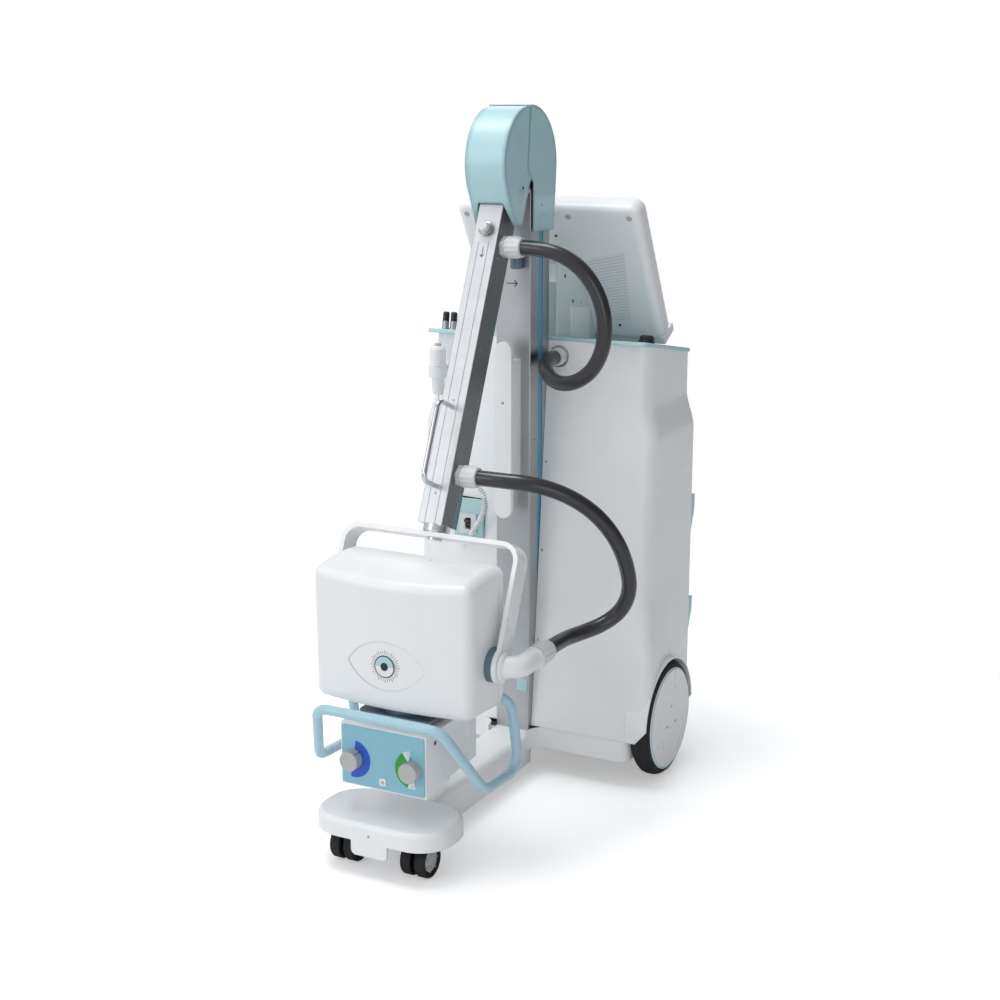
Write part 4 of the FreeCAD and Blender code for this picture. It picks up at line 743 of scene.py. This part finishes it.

# Painted shade: flat dark discs stand for the shade inside the screw holes.
form = Form(CONSOLE)
for x, z in ((14, 294), (130, 45)):
    for side, _ in SIDES:
        form.lathe([(3.6, -0.2), (3.6, 0.15), (0.1, 0.15)], (side * x, 0, z), "-Y", 24)
form.piece("console_screw_hole_painted_shade", DARK, "base", "black")

# %% [markdown]
# ### Ribs
# Each field carries 22 ribs that slant like louvres and grow longer towards the top. The line of each rib is found
# between the lowest and the highest one. A rib is a small triangle, extruded along that line, and the painted shade
# under it is a thin grey bar made in the same way, so the two always fit. A white sheet behind them covers the
# grooves of the solid.

# %% Rib fields
RIB_COUNT = 22
RIB_LINES = []
for side in (-1, 1):
    for number in range(RIB_COUNT):
        t = number / (RIB_COUNT - 1)
        RIB_LINES.append(((side * (90 - 16 * t), 57 + 167 * t), (side * (163 + 17 * t), 68 + 180 * t)))


def along_ribs(form, section):
    """Extrudes a (y, z) section along the line of every rib."""
    for (x, z), (far_x, far_z) in RIB_LINES:
        form.prism([(x, y, z + up) for y, up in section], (far_x - x, 0, far_z - z))


form = Form(CONSOLE)
for side, _ in SIDES:
    field = [(side * 72, 55), (side * 167, 66), (side * 184, 254), (side * 70, 230)]
    form.prism([(x, 0.5, z) for x, z in field], (0, -0.8, 0))
form.piece("console_rib_field", WHITE, "base", "housing")

form = Form(CONSOLE)
along_ribs(form, [(-0.1, 0), (-1.5, 0), (-0.35, 6)])
form.piece("console_ribs", RIB_WHITE, "base", "housing")

# Painted shade: a thin grey bar under each rib stands for the shade in its gap.
form = Form(CONSOLE)
along_ribs(form, [(0.1, -1.4), (-0.5, -1.4), (-0.5, 0), (0.1, 0)])
form.piece("console_rib_painted_shade", RIB_PAINTED_SHADE, "base", "grey")

# %% [markdown]
# ### Foot and stand
# A strip closes the console down to the plate, and two sheets of pale metal close the sides of its stand. A sheet is
# its side view, drawn with five corners and extruded by 3 mm. A small white box sits on the near sheet, and three dark
# discs on it are painted shade where it has holes.

# %% Foot and stand
SHEET_X = 59.2


def side_view(outline):
    """Turns (y, z) corners into an outline for a sheet that stands across X."""
    return [(-z, y) for y, z in outline]


form = Form(CONSOLE)
form.block((-236, 8, -11), (236, 70, 12), 3)
form.piece("console_foot", WHITE, "base", "housing")

form = Form(BASE)
for side, _ in SIDES:
    outline = side_view([(105.5, 1053.6), (105.5, 1225), (220, 1225), (322, 1040), (320, 1018)])
    form.sheet(outline, 3, (side * SHEET_X - 1.5, 0, 0), "X")
form.piece("stand_sides", PALE, "base", "housing")

form = Form(BASE)
form.sheet(side_view([(180, 1043), (280, 1026.5), (280, 1103), (180, 1115)]), 3.4, (SHEET_X + 1.4, 0, 0), "X")
form.piece("stand_cover", WHITE, "base", "housing")

# Painted shade: three flat dark discs stand for the shade inside holes in the near sheet.
form = Form(BASE)
for y, z, radius in ((147, 1189, 5), (192, 1126, 4.5), (238, 1117, 2)):
    form.lathe([(radius, -0.2), (radius, 0.25), (0.1, 0.25)], (SHEET_X + 1.5, y, z), "X", 24)
form.piece("stand_hole_painted_shade", DARK, "base", "black")

# %% [markdown]
# ## Wheels and casters
# A blue line is painted round each wheel disc, and three screws hold the disc to its hub. Each caster wheel has a grey
# hub with seven spokes. All of it must turn with its wheel, so each piece rides on the wheel's own body; a spoke is the
# thin bar again, turned in seven steps.

# %% Wheel rings, screws and caster hubs
WHEEL = (348, 160, 140)
BOLT_RING = 30
CASTER = (87, -592, 37.5)
SPOKES = 7
for (side, axis), name in zip(SIDES, ("right", "left")):
    x, y, z = side * WHEEL[0], *WHEEL[1:]
    form = Form(BASE)
    form.lathe([(118.2, -1.6), (118.6, -0.6), (121.2, -1.6), (122, -2.8), (118.2, -3)], (x, y, z), axis, 120,
               hollow=True)
    form.piece("wheel_ring_" + name, BLUE, "rear_wheel_" + name, "trim")
    form = Form(BASE)
    for step in range(3):
        turn = math.radians(90 + 120 * step)
        screw(form, (x, y + BOLT_RING * math.cos(turn), z + BOLT_RING * math.sin(turn)), axis, 3)
    form.piece("wheel_screws_" + name, STEEL, "rear_wheel_" + name, "steel")
    x, y, z = side * CASTER[0], *CASTER[1:]
    form = Form(BASE)
    for way, out in SIDES:
        form.lathe([(24, 25), (24, 26.1), (13, 26.9), (12, 28.3), (6, 29.1), (0.1, 29.1)], (x, y, z), out)
        for step in range(SPOKES):
            spoke = spun(bar(12, 26, 1.2), math.pi / 2 + 2 * math.pi * step / SPOKES)
            form.sheet(spoke, 2.6, (x + way * 25.3, y, z), out)
    form.piece("caster_hubs_" + name, GREY, "caster_roll_" + name, "grey")

# %% [markdown]
# ## Arm
# The arm has its own arrow, pointing down, two short blue strips, screws along its edges and a washer under the lock
# pin. They are placed in the arm's frame, with Z along the arm, so its lean needn't be worked out for each of them.

# %% Arrow, strips and screws of the arm
ARM_SIDE = 30
ARM_FRONT = -50
form = Form(ARM)
form.sheet(spun([(x * 0.8, y * 0.8) for x, y in ARROW], -math.pi / 2), 0.25, (0, ARM_FRONT, -226), "-Y")
form.piece("arm_arrow", INK, "arm", "black")

form = Form(ARM)
strips(form, 28.05, 29.1, (2.3, -830), (8.7, -750), 0.25)
form.piece("arm_strips", BLUE_DEEP, "arm", "trim")

form = Form(ARM)
for side, axis in SIDES:
    for y, down in ((-32, 178), (-32, 232), (-32, 440), (3, 545), (3, 655), (3, 776)):
        screw(form, (side * ARM_SIDE, y, -down), axis, 2.2)
for down in (560, 766):
    screw(form, (0, ARM_FRONT, -down), "-Y", 2.4)
form.piece("arm_screws", STEEL, "arm", "steel")

# %% Glands and lock washer of the arm
form = Form(ARM)
for down in (UPPER_GLAND, LOWER_GLAND):
    gland(form, (ARM_SIDE, -15, -down), "X", 48, 25)
nuts = form.piece("ribbed_glands", GREY_NUT, "arm", "grey")
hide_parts("arm_hose_glands")

form = Form(ARM)
form.lathe([(17, 0), (14.3, 0.2), (14.3, 4), (12.5, 5), (11.5, 5)], (0, -57.2, -172), "-Y")
form.piece("lock_washer", STEEL, "arm", "steel")

# %% [markdown]
# ## Gland of the cabinet
# The upper hose ends here. The gland is a shorter one, on a round flange that lies on the cabinet's shell.

# %% Gland of the cabinet
CABINET_GLAND = (72, 103, 1008)
form = Form(BASE)
gland(form, CABINET_GLAND, "-Y", 34, 22)
form.lathe([(24.6, -6), (24.6, 0.5), (22.5, 2), (20, 2)], CABINET_GLAND, "-Y")
nuts = form.piece("cabinet_gland_nut", GREY_NUT, "base", "grey")
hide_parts("cabinet_hose_gland")

# %% [markdown]
# ## Elbow of the lower hose
# A short elbow on the yoke turns the lower hose by a right angle into the head. It is modelled as a bent tube is made:
# a circle is extruded a little way out, spun through a quarter turn about the centre of the bend, and extruded again.
# A collar lies at its foot and a rim at its mouth, where the ribbed nut begins.

# %% Elbow and its nut
FOOT_X = 217
FOOT_LONG = 4
BEND = 29
PIPE_RADIUS = 23.4


def push(part, edges, shift):
    """Extrudes a ring of edges by shift and gives the new ring."""
    grown = bmesh.ops.extrude_edge_only(part, edges=edges)["geom"]
    moved = corners_in(grown)
    bmesh.ops.translate(part, vec=shift, verts=moved)
    return [item for item in grown
            if isinstance(item, bmesh.types.BMEdge) and all(vert in moved for vert in item.verts)]


pipe = bmesh.new()
foot = Matrix.Translation((FOOT_X, 0, 0)) @ UP["X"]
bmesh.ops.create_circle(pipe, segments=48, radius=PIPE_RADIUS, matrix=foot)
ring = push(pipe, pipe.edges[:], (FOOT_LONG, 0, 0))
corners = list({vert for edge in ring for vert in edge.verts})
bent = bmesh.ops.spin(pipe, geom=corners + ring, cent=(FOOT_X + FOOT_LONG, BEND, 0), axis=(0, 0, 1),
                      angle=math.pi / 2, steps=14)["geom_last"]
push(pipe, [item for item in bent if isinstance(item, bmesh.types.BMEdge)], (0, 47, 0))
bmesh.ops.holes_fill(pipe, edges=[edge for edge in pipe.edges if edge.is_boundary], sides=0)
for face in pipe.faces:
    face.smooth = len(face.verts) == 4

form = Form(HEAD)
form.join(pipe)
form.lathe([(31, 0.3), (31, 6), (29.5, 7.6), (26, 8), (24.5, 10)], (FOOT_X, 0, 0), "X")
form.lathe([(23.6, 68), (25, 69), (25, 77)], (ELBOW_OUT, 0, 0), "Y")
elbow = form.piece("elbow", WARM, "yoke", "housing")

form = Form(HEAD)
gland(form, (ELBOW_OUT, 75, 0), "Y", 65, 25, hexagon=False)
form.piece("elbow_nut", GREY_NUT, "yoke", "grey")
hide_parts("hose_elbow")

form = Form(HEAD)
for side, axis in SIDES:
    screw(form, (side * 227, -6, -30), axis, 3)
form.piece("boss_screws", STEEL, "yoke", "steel")

# %% [markdown]
# ## Tilt dial
# The dial is a weighted disc that stays level while the head tilts, so its blue half always shows up. Blue and white
# half, hub and rim ride on the dial's own body. The ticks round it are printed on the head's slightly crowned front and
# ride on the head; each tick is set back by the depth of the crown where it lies.

# %% Dial
DIAL = (0, -116.55, 0)
DIAL_RADIUS = 22.2
for name, surface, slot, start in (("dial_sky", BLUE, "trim", 0), ("dial_ground", WARM, "housing", 180)):
    form = Form(HEAD)
    form.sheet(arc(DIAL_RADIUS, start, start + 180, 40), 0.3, DIAL, "-Y")
    form.piece(name, surface, "tilt_dial", slot)

form = Form(HEAD)
form.lathe([(8.6, 0), (8.6, 1.4), (7.8, 2), (0.1, 2)], DIAL, "-Y")
form.lathe([(24.1, -0.4), (24.1, 0.3), (23.5, 0.6), (22.3, 0.6), (22.1, 0)], DIAL, "-Y", 64)
form.piece("dial_hub", DARK, "tilt_dial", "black")

# %% Ticks round the dial
TICK_START, TICK_END, LONG_TICK_END = 27.5, 32.5, 35.5
CROWN_RADIUS = 764
form = Form(HEAD)
for step in range(36):
    turn = math.radians(10 * step)
    tick = bar(TICK_START, LONG_TICK_END if step % 3 == 0 else TICK_END, 0.45)
    across = 31.5 * math.cos(turn)
    form.sheet(spun(tick, turn), 0.35, (0, -113.45 + across ** 2 / (2 * CROWN_RADIUS), 0), "-Y")
form.piece("dial_marks", INK, "tube_head", "black")

# %% [markdown]
# ## Scales and knobs of the beam-limiting box
# Two knobs open and close the shutters that limit the beam. Behind each a curved scale is printed on the panel, one
# blue and one green, and each knob carries a pointer line. Prints are sheets of a tenth of a millimetre: thin enough
# to look printed, and thick enough to lie clearly in front of the panel.

# %% Scales, marks and pointer lines
KNOB_X, KNOB_Z = 72, -211
PANEL_FACE = -130
SCALE_IN, SCALE_OUT = 21, 42
PALE_END = 26


def band(start, end, steps):
    """Part of a ring between two angles."""
    return arc(SCALE_OUT, start, end, steps) + arc(SCALE_IN, end, start, steps)


SCALES = {"left": (-1, PRINT_BLUE, -100, 82, 48), "right": (1, PRINT_GREEN, 98, 280, 100)}
for name, (side, surface, start, end, pointer) in SCALES.items():
    form = Form(HEAD)
    form.sheet(band(start, end, 40), 0.16, (side * KNOB_X, PANEL_FACE + 0.02, KNOB_Z), "-Y")
    form.piece("field_scale_" + name, surface, "collimator", "trim")
    if name == "right":
        form = Form(HEAD)
        for low in (start, end - PALE_END):
            form.sheet(band(low, low + PALE_END, 12), 0.08, (side * KNOB_X, PANEL_FACE - 0.1, KNOB_Z), "-Y")
        form.piece("field_scale_ends", PALE, "collimator", "trim")
    form = Form(HEAD)
    for step in range(9):
        turn = math.radians(start + 8 + (end - start - 16) * step / 8)
        form.sheet(spun(bar(33, 39, 0.4), turn), 0.1, (side * KNOB_X, PANEL_FACE - 0.12, KNOB_Z), "-Y")
    form.piece("field_marks_" + name, INK, "collimator", "black")
    form = Form(HEAD)
    turn = math.radians(pointer)
    for near, far, lift, thick in ((21.4, 22.3, 1, 19), (22, 31, 0.6, 0.3)):
        form.sheet(spun(bar(near, far, 0.7), turn), thick, (side * KNOB_X, PANEL_FACE - lift, KNOB_Z), "-Y")
    form.piece("knob_line_" + name, INK, "field_knob_" + name, "black")

# %% Button mark and side buttons
form = Form(HEAD)
form.block((-4, -132.25, -255), (4, -131.9, -247), 0.1)
form.piece("button_mark", GREY, "light_button", "grey")

form = Form(HEAD)
for side, axis in SIDES:
    form.lathe([(4.5, -0.5), (4.5, 0.4), (3.8, 0.8), (0.1, 0.8)], (side * 104, -90, -158), axis)
form.piece("collimator_buttons", DARK, "collimator", "black")

# %% [markdown]
# ## World
# The camera sees pure white, and the machine is lit by a soft sky of another strength. A light path node tells the two
# apart. The sky is a little brighter on the left, in front and above, so that rounded forms keep their shading even
# where no lamp reaches.

# %% World
SKY_SLANT = (-0.26, -0.24, 0.12)
SKY_LEVEL = 0.46
SKY_COLOUR = (0.95, 0.97, 1.0, 1)
PURE_WHITE = (1, 1, 1, 1)
world = bpy.data.worlds.new("studio")
scene.world = world
world.use_nodes = True
tree = world.node_tree
tree.nodes.clear()
ray = add(tree, "ShaderNodeLightPath")
look = add(tree, "ShaderNodeTexCoord")
slant = add(tree, "ShaderNodeVectorMath", {"operation": "DOT_PRODUCT"}, i0=look.outputs["Generated"], i1=SKY_SLANT)
level = add(tree, "ShaderNodeMath", {"operation": "ADD"}, i0=slant.outputs["Value"], i1=SKY_LEVEL)
sky = add(tree, "ShaderNodeBackground", Color=SKY_COLOUR, Strength=level.outputs[0])
white = add(tree, "ShaderNodeBackground", Color=PURE_WHITE, Strength=1.0)
mixed = add(tree, "ShaderNodeMixShader", i0=ray.outputs["Is Camera Ray"], i1=sky.outputs[0], i2=white.outputs[0])
add(tree, "ShaderNodeOutputWorld", Surface=mixed.outputs[0])
print("world nodes:", len(tree.nodes))

# %% [markdown]
# ## Floor
# A white studio floor shows the shadow near the wheels and fades into the white behind. It is a large plane just under
# the wheels: a matt surface with a faint glow near the machine, and plain white light farther off. Only the camera
# sees the glow, so it doesn't light the machine.

# %% Floor
FLOOR_GLOW = 0.37
FADE_START, FADE_END = 0.75, 1.7
floor_mesh = bpy.data.meshes.new("floor")
plane = bmesh.new()
bmesh.ops.create_grid(plane, x_segments=1, y_segments=1, size=14)
plane.to_mesh(floor_mesh)
plane.free()
floor = link("floor", floor_mesh)
floor.location.z = -0.0005
floor_material = bpy.data.materials.new("floor")
floor_material.use_nodes = True
tree = floor_material.node_tree
shader = tree.nodes["Principled BSDF"]
shader.inputs["Base Color"].default_value = srgb("F4F4F5")
shader.inputs["Roughness"].default_value = 0.6
glow = add(tree, "ShaderNodeEmission", Color=PURE_WHITE, Strength=FLOOR_GLOW)
plain = add(tree, "ShaderNodeEmission", Color=PURE_WHITE, Strength=1.0)
lifted = add(tree, "ShaderNodeAddShader", i0=shader.outputs[0], i1=glow.outputs[0])
place = add(tree, "ShaderNodeNewGeometry")
away = add(tree, "ShaderNodeVectorMath", {"operation": "LENGTH"}, i0=place.outputs["Position"])
fade = add(tree, "ShaderNodeMapRange", {"interpolation_type": "SMOOTHSTEP"}, i0=away.outputs["Value"],
           i1=FADE_START, i2=FADE_END)
faded = add(tree, "ShaderNodeMixShader", i0=fade.outputs[0], i1=lifted.outputs[0], i2=plain.outputs[0])
ray = add(tree, "ShaderNodeLightPath")
looked = add(tree, "ShaderNodeMixShader", i0=ray.outputs["Is Camera Ray"], i1=shader.outputs[0], i2=faded.outputs[0])
tree.links.new(looked.outputs[0], tree.nodes["Material Output"].inputs["Surface"])
floor_mesh.materials.append(floor_material)
print("floor nodes:", len(tree.nodes))

# %% [markdown]
# ## Lamps
# Four soft boxes as in a small studio: a large key from the left in front, which models the white covers, a weak fill
# from the right, one overhead for the plates and the crown of the column, and a rim light from behind that
# draws the far edges. Large lamps give soft shadows and broad reflections on paint and chrome.

# %% Lamps
def softbox(name, place, aim, size, power):
    """A rectangular lamp that looks at a point."""
    light = bpy.data.lights.new(name, "AREA")
    light.shape = "RECTANGLE"
    light.size, light.size_y = size
    light.energy = power
    holder = bpy.data.objects.new(name, light)
    holder.location = place
    holder.rotation_euler = (Vector(aim) - Vector(place)).to_track_quat("-Z", "Y").to_euler()
    scene.collection.objects.link(holder)
    print(name, power, "W")


softbox("key", (-4.2, -6.8, 3.4), (0, 0, 0.7), (4.0, 4.0), 96)
softbox("fill", (3.4, -3.6, 1.0), (0, 0, 0.8), (2.2, 2.0), 19)
softbox("top", (-0.7, -0.4, 4.2), (0, 0, 0.6), (1.7, 1.7), 62)
softbox("rim", (-1.2, 3.4, 2.6), (0, 0, 0.9), (2.6, 1.8), 22)

# %% [markdown]
# ## Last step
# The plain view keeps whites white, as in a product photograph.

# %% Last step
scene.view_settings.view_transform = "Standard"
